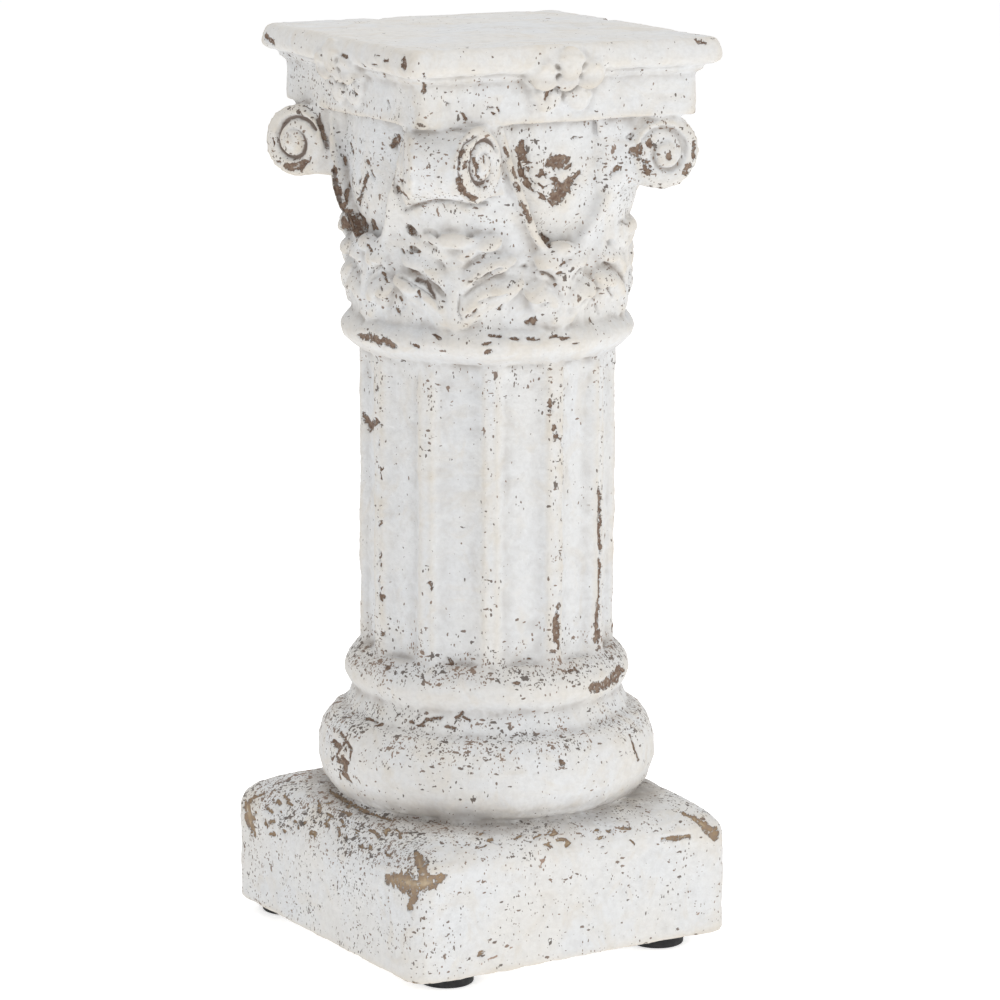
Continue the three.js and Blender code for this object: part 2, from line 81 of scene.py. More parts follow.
# The photograph's camera.
PHOTO_SIDE = 1000
CAMERA_LENS, CAMERA_SENSOR = 155.3, 36.0
CAMERA_DISTANCE = 1427.4
CAMERA_AZIMUTH, CAMERA_ELEVATION = math.radians(-31.9), math.radians(11.562)
CAMERA_ROLL = 0.0027
CAMERA_TARGET_HEIGHT, CAMERA_TARGET_RIGHT = 145.49, 4.30


def camera_axes():
    """The camera's right, up and backward directions."""
    ground = math.cos(CAMERA_ELEVATION)
    across, ahead = math.sin(CAMERA_AZIMUTH) * ground, -math.cos(CAMERA_AZIMUTH) * ground
    back = Vector((across, ahead, math.sin(CAMERA_ELEVATION)))
    level_right = (-back).cross(Vector((0, 0, 1))).normalized()
    level_up = level_right.cross(-back)
    right = level_right * math.cos(CAMERA_ROLL) + level_up * math.sin(CAMERA_ROLL)
    return right, back.cross(right), back


def camera_place():
    right, _, back = camera_axes()
    target = Vector((AXIS_X, AXIS_Y, CAMERA_TARGET_HEIGHT)) + right * CAMERA_TARGET_RIGHT
    return (target + back * CAMERA_DISTANCE) * MM


def on_axis(radius, angle, height):
    """A point at a distance from the column's axis, in metres."""
    across, ahead = radius * math.cos(angle), radius * math.sin(angle)
    return Vector((AXIS_X + across, AXIS_Y + ahead, height)) * MM


def bell_radius(up):
    """The bell's radius at a height above its foot, in millimetres."""
    start, end = BELL_SWELL
    share = min(max((up - start) / (end - start), 0.0), 1.0)
    share = share * share * (3 - 2 * share)
    return BELL_FOOT_RADIUS + (BELL_TOP_RADIUS - BELL_FOOT_RADIUS) * share


def deselect():
    if bpy.context.mode != "OBJECT":
        bpy.ops.object.mode_set(mode="OBJECT")
    bpy.ops.object.select_all(action="DESELECT")


def pick(*pieces):
    """Select these pieces, the first of them active."""
    deselect()
    for piece in pieces:
        piece.select_set(True)
    bpy.context.view_layer.objects.active = pieces[0]


def join_pieces(pieces, name):
    pick(*pieces)
    if len(pieces) > 1:
        bpy.ops.object.join()
    made = bpy.context.view_layer.objects.active
    made.name = name
    return made


def place_in_mesh(piece):
    pick(piece)
    bpy.ops.object.transform_apply(location=True, rotation=True, scale=True)
    return piece


def added(shape, **settings):
    """A new primitive with its place, turn and scale in its mesh."""
    deselect()
    shape(**settings)
    return place_in_mesh(bpy.context.view_layer.objects.active)


def lump(place, long_way, out, sizes):
    """A rounded lump: half sizes along its long way, across it and outwards, in millimetres."""
    along = long_way.normalized()
    outward = (out - along * out.dot(along)).normalized()
    across = outward.cross(along)
    turn = Matrix((along, across, outward)).transposed()
    return added(
        bpy.ops.mesh.primitive_uv_sphere_add,
        segments=20,
        ring_count=12,
        radius=1.0,
        location=place,
        rotation=turn.to_euler(),
        scale=[size * MM for size in sizes],
    )


def bead_along(points, radii):
    """A round bead along points, its radius given at each point in millimetres."""
    deselect()
    bpy.ops.curve.primitive_bezier_curve_add()
    rail = bpy.context.view_layer.objects.active
    rail.location = (0, 0, 0)
    rail.data.splines.clear()
    spline = rail.data.splines.new("POLY")
    spline.points.add(len(points) - 1)
    for knot, place, radius in zip(spline.points, points, radii):
        knot.co = (*place, 1)
        knot.radius = radius
    rail.data.bevel_depth = MM
    rail.data.bevel_resolution = 3
    rail.data.use_fill_caps = True
    pick(rail)
    bpy.ops.object.convert(target="MESH")
    return place_in_mesh(bpy.context.view_layer.objects.active)


def turned_copy(piece, angle):
    """A copy with its own mesh, turned about the column's axis."""
    other = piece.copy()
    other.data = piece.data.copy()
    bpy.context.scene.collection.objects.link(other)
    middle = Matrix.Translation((AXIS_X * MM, AXIS_Y * MM, 0))
    other.data.transform(middle @ Matrix.Rotation(angle, 4, "Z") @ middle.inverted())
    return other


def apply_modifier(piece, kind, **settings):
    modifier = piece.modifiers.new(kind.title(), kind)
    for key, value in settings.items():
        setattr(modifier, key, value)
    pick(piece)
    bpy.ops.object.modifier_apply(modifier=modifier.name)


# Settings that a user would change.


def length(name, description, millimetres):
    return bpy.props.FloatProperty(
        name=name, description=description, default=millimetres * MM, unit="LENGTH"
    )


def colour(name, description, shade):
    return bpy.props.FloatVectorProperty(
        name=name, description=description, default=shade, size=3, subtype="COLOR"
    )


class ColumnCarving(bpy.types.PropertyGroup):
    lobe_stand: bpy.props.FloatProperty(
        name="Lobe stand",
        description="How far a leaf lobe's lump stands out from the bell, in millimetres",
        default=2.3,
    )
    rim_radius: length("Panel rim", "Radius of the bead along a panel's edge", 1.35)
    coil_turns: bpy.props.FloatProperty(
        name="Coil turns",
        description="How often the groove on a volute's end winds round",
        default=1.75,
    )
    coil_groove: length("Coil groove", "Half the width of the groove on a volute's end", 0.95)
    coil_depth: length("Coil depth", "Depth of the groove on a volute's end", 1.5)
    crease_depth: length("Crease depth", "Depth of the creases between lobes and petals", 1.5)


class ColumnSkin(bpy.types.PropertyGroup):
    voxel: length("Voxel", "Size of the cells that fuse the casting into one skin", 0.65)
    most_triangles: bpy.props.IntProperty(
        name="Most triangles", description="Triangles left in the casting", default=190000
    )
    broad_lumps: length("Broad lumps", "Height of the uneven places a few centimetres wide", 0.9)
    small_lumps: length("Small lumps", "Height of the uneven places under a centimetre wide", 0.75)
    grit: length("Grit", "Height of the finest unevenness in the mesh", 0.32)
    chip_depth: length("Chip depth", "How deep a chip goes into the casting", 0.55)


class ColumnFinish(bpy.types.PropertyGroup):
    wash: colour("Lime wash", "Colour of the lime wash", (0.745, 0.735, 0.715))
    # The cool wash shows in broad random zones, and deep in the flute hollows as painted shade.
    cool_wash_and_shade: colour("Cool wash", "Colour of thicker, cooler wash", (0.735, 0.745, 0.755))
    cream: colour("Cream stain", "Colour of cream stains", (0.64, 0.55, 0.42))
    cement: colour("Bare cement", "Brown cement in the chips", (0.15, 0.095, 0.068))
    ochre: colour("Ochre cement", "Lighter cement in the plinth's chips", (0.33, 0.235, 0.145))
    speckle: colour("Speckles", "Colour of the fine speckles", (0.085, 0.065, 0.052))


class ColumnStage(bpy.types.PropertyGroup):
    floor: colour("Floor", "Colour of the floor", (0.90, 0.90, 0.90))
    world: bpy.props.FloatProperty(
        name="Surround", description="Strength of the even light all round", default=0.56
    )
    glow: bpy.props.FloatProperty(
        name="Floor glow", description="Light that the white floor gives off", default=0.5
    )
    key: bpy.props.FloatProperty(
        name="Key light", description="Power of the large light", default=6.9, unit="POWER"
    )


# The carving that is rounder than the solids have it.


LEAVES = {
    "large": {"lobes": 3, "reach": 21.5, "height": 31.0, "first": 45},
    "small": {"lobes": 2, "reach": 12.5, "height": 27.0, "first": 0},
}
LEAF_RISE, LEAF_TAPER, LEAF_RIB_HALF, LEAF_BOW = 0.5, 0.5, 3.2, 2.9
# A lobe's lumps: shares of its reach and pitch, then millimetres.
LOBE_REACH, LOBE_WAIST, LOBE_SPREAD, LOBE_ROOT_SPREAD = 0.95, 0.55, 0.4, 0.85
LOBE_OVERLAP, LOBE_HALF_THICK, LOBE_TIP_STAND, LOBE_WAIST_SINK = 1.8, 2.1, 0.8, 0.8
RIB_OVERLAP, RIB_HALF_THICK = 2, 2.4
CURL_DROP, CURL_SINK, CURL_SHARE, CURL_HALVES = 2.5, 1.0, 0.36, (2.7, 2.0)
CREASE_STEPS, CREASE_REACH, CREASE_DROP, CREASE_STAND = 6, 0.86, 0.02, 1.6


def on_leaf(angle, leaf, share, aside, out):
    """A point on a leaf: share of the way up its stem, and aside from its rib in millimetres."""
    stem = leaf["height"] - LEAF_RISE * leaf["reach"] * (1 - LEAF_TAPER)
    half = leaf["reach"] * (1 - LEAF_TAPER * share * share)
    bow = LEAF_BOW * math.sin(math.pi * min(abs(aside) / half, 1.0))
    up = share * stem + LEAF_RISE * abs(aside) + bow
    radius = bell_radius(up)
    return on_axis(radius + out, angle + aside / radius, BELL_BOTTOM + up)


def leaf_lumps(leaf, stand):
    """Lumps over the lobes, the rib and the curled tip of the leaf that points along +X."""
    pieces = []
    outwards = Vector((1, 0, 0))
    stem = leaf["height"] - LEAF_RISE * leaf["reach"] * (1 - LEAF_TAPER)
    for lobe in range(leaf["lobes"]):
        share = (lobe + 0.5) / leaf["lobes"]
        end = leaf["reach"] * (1 - LEAF_TAPER * share * share) * LOBE_REACH
        for side in (-1, 1):
            root = on_leaf(0, leaf, share, side * LEAF_RIB_HALF * 0.5, 1.0)
            waist = on_leaf(0, leaf, share, side * end * LOBE_WAIST, stand - LOBE_WAIST_SINK)
            tip = on_leaf(0, leaf, share, side * end, LOBE_TIP_STAND)
            across = stem / leaf["lobes"] * LOBE_SPREAD
            for start, finish, width in ((root, waist, LOBE_ROOT_SPREAD), (waist, tip, 1.0)):
                place = (start + finish) / 2
                half = (finish - start).length / MM / 2 + LOBE_OVERLAP
                sizes = (half, across * width, LOBE_HALF_THICK)
                pieces.append(lump(place, finish - start, outwards + place * 4, sizes))
    foot, top = on_leaf(0, leaf, -0.05, 0, 0.4), on_leaf(0, leaf, 1.0, 0, 0.6)
    middle = (foot + top) / 2
    rib = (stem / 2 + RIB_OVERLAP, LEAF_RIB_HALF, RIB_HALF_THICK)
    pieces.append(lump(middle, top - foot, outwards, rib))
    radius = bell_radius(leaf["height"]) + stand - CURL_SINK
    curl = on_axis(radius, 0, BELL_BOTTOM + leaf["height"] - CURL_DROP)
    sizes = (leaf["reach"] * CURL_SHARE, *CURL_HALVES)
    pieces.append(lump(curl, Vector((0, 1, 0)), outwards, sizes))
    return pieces


def leaf_creases():
    """Lines of the creases under the lobes of all eight leaves."""
    lines = []
    for leaf in LEAVES.values():
        for quarter in range(4):
            angle = math.radians(leaf["first"] + 90 * quarter)
            for lobe in range(1, leaf["lobes"] + 1):
                share = lobe / leaf["lobes"] - CREASE_DROP
                end = leaf["reach"] * (1 - LEAF_TAPER * share * share) * CREASE_REACH
                along = end - LEAF_RIB_HALF
                stops = [
                    LEAF_RIB_HALF + along * step / CREASE_STEPS for step in range(CREASE_STEPS + 1)
                ]
                for side in (-1, 1):
                    lines.append(
                        [on_leaf(angle, leaf, share, side * stop, CREASE_STAND) for stop in stops]
                    )
    return lines


class COLUMN_OT_leaves(bpy.types.Operator):
    """Round lobes over the eight leaves at the foot of the bell"""

    bl_idname = "column.leaves"
    bl_label = "Leaves"

    def execute(self, context):
        stand = context.scene.column_carving.lobe_stand
        pieces = []
        for name, leaf in LEAVES.items():
            pattern = join_pieces(leaf_lumps(leaf, stand), name + "_leaf")
            for quarter in range(4):
                pieces.append(turned_copy(pattern, math.radians(leaf["first"] + 90 * quarter)))
            bpy.data.objects.remove(pattern)
        join_pieces(pieces, "leaves")
        return {"FINISHED"}


RIM_STEPS, RIM_OUTSIDE, RIM_STAND = 18, 1.0, 1.3


def panel_edge(side):
    """Points along one side of a panel's edge, from its foot to the abacus, at angle 0."""
    points = []
    foot = BELL_HEIGHT - PANEL_HEIGHT
    for step in range(RIM_STEPS + 1):
        share = (step / RIM_STEPS) ** 2
        half = (PANEL_HALF_TOP + RIM_OUTSIDE) * share**PANEL_TAPER
        up = foot - RIM_OUTSIDE + (PANEL_HEIGHT + RIM_OUTSIDE) * share
        radius = bell_radius(up) + RIM_STAND
        points.append(on_axis(radius, side * math.asin(min(half / radius, 1)), BELL_BOTTOM + up))
    return points


class COLUMN_OT_panel_rims(bpy.types.Operator):
    """Beads along the edges of the four panels"""

    bl_idname = "column.panel_rims"
    bl_label = "Panel rims"

    def execute(self, context):
        radius = context.scene.column_carving.rim_radius / MM
        left, right = panel_edge(-1), panel_edge(1)
        points = left[::-1] + right[1:]
        rim = bead_along(points, [radius] * len(points))
        join_pieces([rim, *(turned_copy(rim, turn * math.pi / 2) for turn in (1, 2, 3))], "rims")
        return {"FINISHED"}


def volute_ends():
    """Both ends of each volute: the middle, the way outwards along the end, and the way off it."""
    half = VOLUTE_TIP_HALF + VOLUTE_RADIUS * math.tan(VOLUTE_SPLAY)
    left_end = Vector((VOLUTE_DISTANCE, -half, 0))
    for corner in (-45, 45, 135, 225):
        for side in (-1, 1):
            middle = Vector((VOLUTE_DISTANCE, side * half, 0))
            off = Vector((math.sin(VOLUTE_SPLAY), side * math.cos(VOLUTE_SPLAY), 0))
            along = Vector((math.cos(VOLUTE_SPLAY), -side * math.sin(VOLUTE_SPLAY), 0))
            if corner == -45:
                set_back = Matrix.Rotation(FRONT_RIGHT_VOLUTE_TURN, 3, "Z")
                middle = left_end + set_back @ (middle - left_end)
                along, off = set_back @ along, set_back @ off
            turn = Matrix.Rotation(math.radians(corner), 3, "Z")
            middle = turn @ middle + Vector((AXIS_X, AXIS_Y, VOLUTE_HEIGHT))
            yield middle, turn @ along, turn @ off


def on_end(end, aside, up, proud):
    """A point on a volute's end, in metres."""
    middle, along, off = end
    return (middle + along * aside + Vector((0, 0, up)) + off * proud) * MM


# The coil on the photograph's right keeps its wash; the others have their grooves painted dark, as
# painted shade with dirt.
CLEAN_COIL, CLEAN_COIL_SHADE_AND_DIRT, CLEAN_COIL_DEPTH = 0, 0.15, 0.7
COIL_START, COIL_OUTER, COIL_INNER, COIL_EYE_SHIFT = math.radians(150), 8.6, 2.3, 1.9
COIL_STEPS, COIL_CLOSING = 60, 1.3
DISC_RADIUS, DISC_THICK, DISC_SINK = 10.2, 4.0, 1.9
DOME_SHIFT, DOME_SINK, DOME_SIZES = 1.2, 0.6, (6.0, 6.0, 1.9)
EYE_STAND, EYE_SIZES = 0.4, (1.9, 1.9, 1.5)


def coil_groove(end, turns):
    """The line of the groove that winds in on a volute's end."""
    line = []
    for step in range(COIL_STEPS + 1):
        share = step / COIL_STEPS
        angle = COIL_START - share * turns * 2 * math.pi
        radius = COIL_INNER + (COIL_OUTER - COIL_INNER) * (1 - share) ** COIL_CLOSING
        shift = COIL_EYE_SHIFT * share
        line.append(on_end(end, shift + radius * math.cos(angle), radius * math.sin(angle), 0))
    return line


class COLUMN_OT_volute_ends(bpy.types.Operator):
    """Closed discs with a raised eye on both ends of the four volutes"""

    bl_idname = "column.volute_ends"
    bl_label = "Volute ends"

    def execute(self, context):
        pieces = []
        for end in volute_ends():
            off = end[2]
            disc = added(
                bpy.ops.mesh.primitive_cylinder_add,
                vertices=48,
                radius=DISC_RADIUS * MM,
                depth=DISC_THICK * MM,
                location=on_end(end, 0, 0, -DISC_SINK),
                rotation=off.to_track_quat("Z", "Y").to_euler(),
            )
            pieces.append(disc)
            upright = Vector((0, 0, 1))
            dome, eye = on_end(end, DOME_SHIFT, 0, -DOME_SINK), on_end(end, COIL_EYE_SHIFT, 0, EYE_STAND)
            pieces.append(lump(dome, upright, off, DOME_SIZES))
            pieces.append(lump(eye, upright, off, EYE_SIZES))
        join_pieces(pieces, "coils")
        return {"FINISHED"}


FLOWER_MIDDLE = LIP_TOP - 1.4 - 10.25
FLOWER_PETALS = 5
PETAL_RING, PETAL_STAND, PETAL_SIZES = (8.6, 5.8), 0.5, (5.6, 4.7, 1.9)
BOSS_STAND, BOSS_SIZES = 0.9, (4.0, 3.3, 1.9)
PETAL_CREASE, PETAL_CREASE_STOPS, PETAL_CREASE_STAND = (14, 10), (0.3, 0.5, 0.75), 1.6
BOSS_CREASE, BOSS_CREASE_STEPS, BOSS_CREASE_STAND = (4.6, 3.7), 12, 2.0


def on_flower(aside, up, stand, turn=0.0):
    """A point on the flower of the side that faces +X, or of a side turned from it."""
    share = (up + FLOWER_MIDDLE - (LEDGE_BOTTOM - 5)) / (LIP_BOTTOM - LEDGE_BOTTOM + 10)
    share = min(max(share, 0.0), 1.0)
    out = FASCIA_HALF + (LIP_HALF - FASCIA_HALF) * share * share * (3 - 2 * share) + stand
    place = Matrix.Rotation(turn, 3, "Z") @ Vector((out, aside, 0))
    return (place + Vector((AXIS_X, AXIS_Y, FLOWER_MIDDLE + up))) * MM


def flower_creases():
    """Lines of the creases between petals and round the boss of all four flowers."""
    lines = []
    for side in range(4):
        turn = ABACUS_TURN + side * math.pi / 2
        for petal in range(FLOWER_PETALS):
            angle = 2 * math.pi * (petal + 0.5) / FLOWER_PETALS
            aside, up = PETAL_CREASE[0] * math.sin(angle), PETAL_CREASE[1] * math.cos(angle)
            lines.append(
                [
                    on_flower(stop * aside, stop * up, PETAL_CREASE_STAND, turn)
                    for stop in PETAL_CREASE_STOPS
                ]
            )
        ring = []
        for step in range(BOSS_CREASE_STEPS + 1):
            angle = 2 * math.pi * step / BOSS_CREASE_STEPS
            aside, up = BOSS_CREASE[0] * math.sin(angle), BOSS_CREASE[1] * math.cos(angle)
            ring.append(on_flower(aside, up, BOSS_CREASE_STAND, turn))
        lines.append(ring)
    return lines


class COLUMN_OT_flowers(bpy.types.Operator):
    """Soft petals over the flower on each side of the abacus"""

    bl_idname = "column.flowers"
    bl_label = "Flowers"

    def execute(self, context):
        out = Vector((1, 0, 0.1))
        pieces = []
        for petal in range(FLOWER_PETALS):
            angle = 2 * math.pi * petal / FLOWER_PETALS
            ray = Vector((0, math.sin(angle) * PETAL_RING[0], math.cos(angle) * PETAL_RING[1]))
            place = on_flower(ray.y, ray.z, PETAL_STAND)
            pieces.append(lump(place, ray, out, PETAL_SIZES))
        pieces.append(lump(on_flower(0, 0, BOSS_STAND), Vector((0, 1, 0)), out, BOSS_SIZES))
        pattern = join_pieces(pieces, "flower_pattern")
        copies = [turned_copy(pattern, ABACUS_TURN + turn * math.pi / 2) for turn in range(4)]
        bpy.data.objects.remove(pattern)
        join_pieces(copies, "flowers")
        return {"FINISHED"}


# Chips that the photograph shows, by place, each a chain of dabs: pixel across, pixel down and
# half width in millimetres. Cracks are lines of pixels.
CHIPS = {
    "panel": (
        ((547, 165, 0.8), (554, 158, 1.5), (559, 165, 2.2), (566, 158, 1.2)),
        ((580, 171, 0.6), (574, 179, 1.0), (564, 188, 2.6), (557, 197, 2.4), (550, 201, 0.8)),
        ((538, 192, 0.45), (548, 200, 0.55), (556, 204, 0.5)),
        ((517, 150, 0.7), (524, 153, 0.8), (528, 162, 0.6)),
        ((519, 163, 0.4), (525, 178, 0.45), (531, 190, 0.4)),
        ((615, 171, 1.1), (617, 168, 0.9)),
    ),
    "stem beside the panel": (
        ((504, 148, 0.6), (509, 157, 0.7)),
        ((514, 169, 0.8), (516, 176, 0.9)),
        ((515, 184, 1.0), (519, 189, 0.9)),
        ((522, 207, 1.4), (527, 214, 2.0), (530, 221, 0.8)),
        ((541, 235, 0.7), (546, 241, 1.1), (549, 246, 0.7)),
    ),
    "left stem": (
        ((318, 118, 0.7), (327, 146, 0.8), (335, 174, 1.1), (342, 205, 1.6), (350, 228, 2.2)),
        ((344, 222, 3.0), (354, 228, 3.6), (362, 220, 1.8)),
        ((366, 178, 0.8), (362, 192, 0.7), (358, 204, 0.9)),
        ((373, 222, 1.0), (371, 229, 1.2)),
    ),
    "left volute": (
        ((286, 166, 1.0), (297, 168, 1.5), (306, 161, 0.9)),
    ),
    "front volute": (
        ((392, 146, 0.8), (396, 139, 1.5), (402, 134, 1.0)),
        ((399, 190, 1.3), (405, 196, 1.4)),
        ((476, 136, 0.4), (463, 145, 0.45), (458, 172, 0.5), (461, 190, 1.2), (476, 200, 0.9)),
        ((471, 152, 0.6), (475, 160, 1.0), (479, 172, 0.7)),
    ),
    "right volute": (
        ((632, 151, 1.2), (636, 153, 1.9), (639, 149, 1.2)),
        ((646, 162, 1.1), (648, 169, 1.5)),
        ((649, 143, 1.2), (651, 144, 1.1)),
        ((628, 138, 1.1), (631, 135, 0.9)),
        ((669, 156, 1.0), (670, 158, 1.0)),
        ((695, 143, 0.8), (695, 156, 1.0)),
        ((685, 172, 1.0), (690, 169, 1.6)),
    ),
    "leaves": (
        ((409, 228, 1.2), (418, 240, 1.1), (432, 249, 1.4)),
        ((526, 322, 0.6), (533, 321, 1.3)),
    ),
    "upper ring": (
        ((358, 335, 0.9), (372, 338, 1.3), (388, 343, 1.6), (395, 346, 1.1)),
        ((485, 353, 0.5), (490, 351, 0.8)),
        ((490, 335, 0.5), (500, 336, 0.6)),
        ((509, 338, 0.5), (518, 339, 0.6)),
        ((528, 338, 0.6), (538, 339, 0.7)),
        ((562, 338, 0.6), (570, 337, 0.5)),
    ),
    "shaft": (
        ((362, 416, 1.1), (368, 426, 1.9), (376, 421, 1.1)),
        ((550, 400, 0.7), (551, 409, 1.0)),
        ((554, 426, 0.8), (556, 436, 1.1)),
        ((430, 583, 0.8), (431, 588, 0.9)),
    ),
    "ridges": (
        ((600, 490, 1.1), (601, 506, 1.2), (600, 530, 1.4), (601, 552, 0.9)),
        ((599, 560, 0.8), (600, 590, 1.2), (598, 618, 1.1), (597, 642, 1.2)),
        ((559, 604, 0.6), (556, 622, 1.1), (557, 640, 1.2)),
    ),
    "lower ring": (
        ((592, 688, 1.4), (606, 684, 1.9), (621, 672, 2.3)),
        ((513, 682, 0.5), (519, 683, 0.6)),
    ),
    "torus": (
        ((333, 741, 0.7), (340, 748, 1.1), (336, 756, 0.9)),
        ((338, 760, 0.9), (344, 764, 1.1), (342, 772, 0.9)),
        ((344, 775, 0.7), (350, 782, 0.9)),
        ((347, 742, 0.6), (352, 750, 0.7), (350, 760, 0.5)),
        ((630, 735, 0.5), (634, 748, 0.6), (638, 760, 0.5)),
        ((560, 760, 0.6), (562, 764, 0.9)),
        ((330, 790, 0.6), (345, 800, 0.9), (366, 812, 0.8), (392, 820, 0.5)),
    ),
    "star on the plinth": (
        ((386, 879, 1.4), (400, 881, 3.0), (414, 884, 3.0)),
        ((446, 876, 0.7), (436, 880, 2.0), (422, 884, 3.0)),
        ((416, 852, 0.8), (421, 864, 1.7), (424, 876, 2.2)),
        ((416, 886, 2.6), (412, 898, 1.8), (410, 909, 1.1)),
    ),
    "plinth corners": (
        ((246, 804, 1.4), (248, 813, 2.5), (250, 824, 2.2), (254, 833, 1.2)),
        ((250, 800, 0.9), (264, 794, 0.6), (280, 790, 0.5)),
        ((684, 813, 0.8), (694, 818, 1.0), (706, 826, 1.6), (716, 835, 1.8)),
        ((662, 839, 0.5), (676, 838, 0.8), (690, 836, 0.6)),
    ),
    "abacus": (
        ((403, 58, 0.9), (404, 66, 1.3)),
        ((698, 40, 0.9), (704, 43, 0.7)),
        ((266, 36, 1.0), (272, 43, 1.4)),
        ((424, 74, 0.5), (425, 90, 0.7)),
        ((558, 88, 0.7), (548, 92, 0.8), (545, 100, 0.6)),
    ),
}
CRACKS = {
    "plinth right face": ((538, 850), (541, 862), (538, 872), (534, 881)),
    "plinth right face branch": ((541, 862), (549, 857)),
    "plinth right foot": ((478, 966), (492, 958), (505, 952), (516, 945)),
    "plinth right edge": ((660, 930), (690, 917), (712, 908)),
}
# Worn zones with many short flakes: the zone's middle and its half extents in pixels, how many
# flakes, their half width in millimetres and their slope in degrees.
WORN = {
    "plinth top left": (300, 815, 48, 20, 34, 0.55, 40),
    "plinth top front": (372, 838, 36, 16, 16, 0.45, 50),
    "plinth top right": (560, 836, 90, 12, 26, 0.42, -20),
    "torus left": (344, 758, 13, 26, 9, 0.6, 70),
    "torus top": (430, 722, 70, 9, 18, 0.4, 10),
    "shaft foot": (480, 662, 100, 9, 12, 0.4, 20),
    "shaft left": (381, 530, 3, 115, 18, 0.42, 88),
    "shaft right": (562, 530, 3, 120, 12, 0.42, 88),
    "panel left": (523, 160, 9, 16, 13, 0.55, 70),
    "panel middle": (545, 182, 20, 20, 15, 0.45, 35),
    "panel right": (590, 165, 22, 30, 7, 0.36, -50),
    "stem left": (360, 190, 16, 42, 16, 0.5, 75),
    "leaf left": (392, 272, 28, 40, 20, 0.45, 50),
    "leaf right": (520, 285, 60, 34, 11, 0.38, -25),
    "upper ring": (480, 340, 110, 5, 8, 0.4, 5),
    "fascia left": (345, 95, 50, 20, 9, 0.38, 60),
    "fascia middle": (470, 108, 30, 14, 6, 0.36, 30),
    "left coil": (292, 142, 20, 24, 6, 0.4, 60),
    "front disc": (476, 168, 12, 28, 9, 0.45, 80),
    "lip left": (330, 62, 56, 8, 9, 0.4, 25),
}
FLAKE_PIXELS, FLAKE_SLOPE_SPREAD, FLAKE_SIZES, FLAKE_TAPER = (3.0, 9.0), 25, (0.6, 1.5), 0.8
# Folds that are pressed in: a line of pixels, then half width and depth in millimetres, and how dark the
# fold is painted, as painted shade with dirt.
FOLDS = {
    "front volute underside": (
        ((404, 210), (418, 205), (433, 200), (451, 201), (467, 205), (486, 203)), 0.8, 1.3, 0.55,
    ),
    "front volute left end": (
        ((405, 131), (394, 145), (396, 164), (396, 188), (404, 210)), 0.9, 1.3, 0.7,
    ),
    "front volute left rim": (((411, 150), (411, 178), (412, 203)), 0.6, 0.7, 0.25),
    "front volute disc": (
        ((477, 136), (463, 145), (458, 160), (457, 176), (461, 191), (470, 199)), 0.7, 1.1, 0.9,
    ),
    "left stem edge": (((318, 118), (327, 146), (335, 174), (342, 205), (349, 228)), 0.9, 1.4, 1.0),
    "left stem fork": (((366, 178), (362, 192), (358, 204)), 0.6, 0.8, 0.7),
    "leaf tip left": (((409, 228), (418, 240), (432, 249)), 0.9, 1.1, 0.8),
    "left leaf arc": (((416, 279), (426, 283), (434, 294), (439, 309)), 0.6, 1.1, 0.85),
    "left leaf vein": (((400, 276), (415, 284), (426, 291), (434, 299)), 0.5, 0.8, 0.6),
    "right finger top": (((474, 284), (486, 276), (499, 269), (526, 266)), 0.65, 1.2, 0.75),
    "right finger foot": (((479, 302), (490, 298), (507, 295)), 0.6, 1.0, 0.65),
    "leaf root": (((460, 294), (458, 311), (462, 319)), 0.5, 0.8, 0.5),
    "right curl": (((593, 298), (597, 289), (608, 288), (612, 296)), 0.6, 1.0, 0.75),
    "right curl foot": (((595, 304), (599, 313)), 0.5, 0.8, 0.55),
    "small upright vein": (((544, 274), (546, 289)), 0.5, 0.6, 0.4),
}
# Chips on the sides out of sight: how many, their widths and steps in millimetres, and how far
# a side has to turn away from the camera.
HIDDEN_CHIPS, HIDDEN_WIDTHS, HIDDEN_WIDEST = 90, (0.6, 1.9), 2.8
HIDDEN_STEP, HIDDEN_UPRIGHT, HIDDEN_WIDENING, TURNED_AWAY = 2.4, 1.6, (0.6, 1.4), -0.25
LONGEST_DAB, CRACK_REACH = 25, 2


def seen_point(casting, pixel):
    """Where the photograph's pixel falls on the casting, or None beside it."""
    right, up, back = camera_axes()
    per_pixel = CAMERA_SENSOR / CAMERA_LENS / PHOTO_SIDE
    aside = (pixel[0] - PHOTO_SIDE / 2) * per_pixel
    above = (PHOTO_SIDE / 2 - pixel[1]) * per_pixel
    ray = (right * aside + up * above - back).normalized()
    hit, place, _, _ = casting.ray_cast(camera_place(), ray)
    return np.array(place) if hit else None


def near_line(places, start, end):
    """For each place, how far along and how far off the stretch between two points it lies."""
    along = end - start
    share = np.clip((places - start) @ along / max(along @ along, 1e-12), 0, 1)
    return share, np.linalg.norm(places - start - share[:, None] * along, axis=1)


def worn_flakes():
    """Short flakes in the worn zones, each a chain of two dabs."""
    draws = np.random.default_rng(21)
    flakes = []
    for across, down, half_across, half_down, count, width, slope in WORN.values():
        for _ in range(count):
            x = across + draws.uniform(-half_across, half_across)
            y = down + draws.uniform(-half_down, half_down)
            angle = math.radians(slope + draws.normal(0, FLAKE_SLOPE_SPREAD))
            reach = draws.uniform(*FLAKE_PIXELS) / 2
            right, below = reach * math.cos(angle), reach * math.sin(angle)
            size = width * draws.uniform(*FLAKE_SIZES)
            start, end = (x - right, y - below, size * FLAKE_TAPER), (x + right, y + below, size)
            flakes.append((start, end))
    return flakes


def chip_chains(casting):
    """Each chip of the photograph as places on the casting with half widths in metres."""
    chains = []
    seen_chips = [chip for group in CHIPS.values() for chip in group]
    for dabs in (*seen_chips, *worn_flakes()):
        chain = [(seen_point(casting, dab), dab[2] * MM) for dab in dabs]
        chain = [(place, width) for place, width in chain if place is not None]
        if chain:
            chains.append(chain if len(chain) > 1 else chain * 2)
    return chains


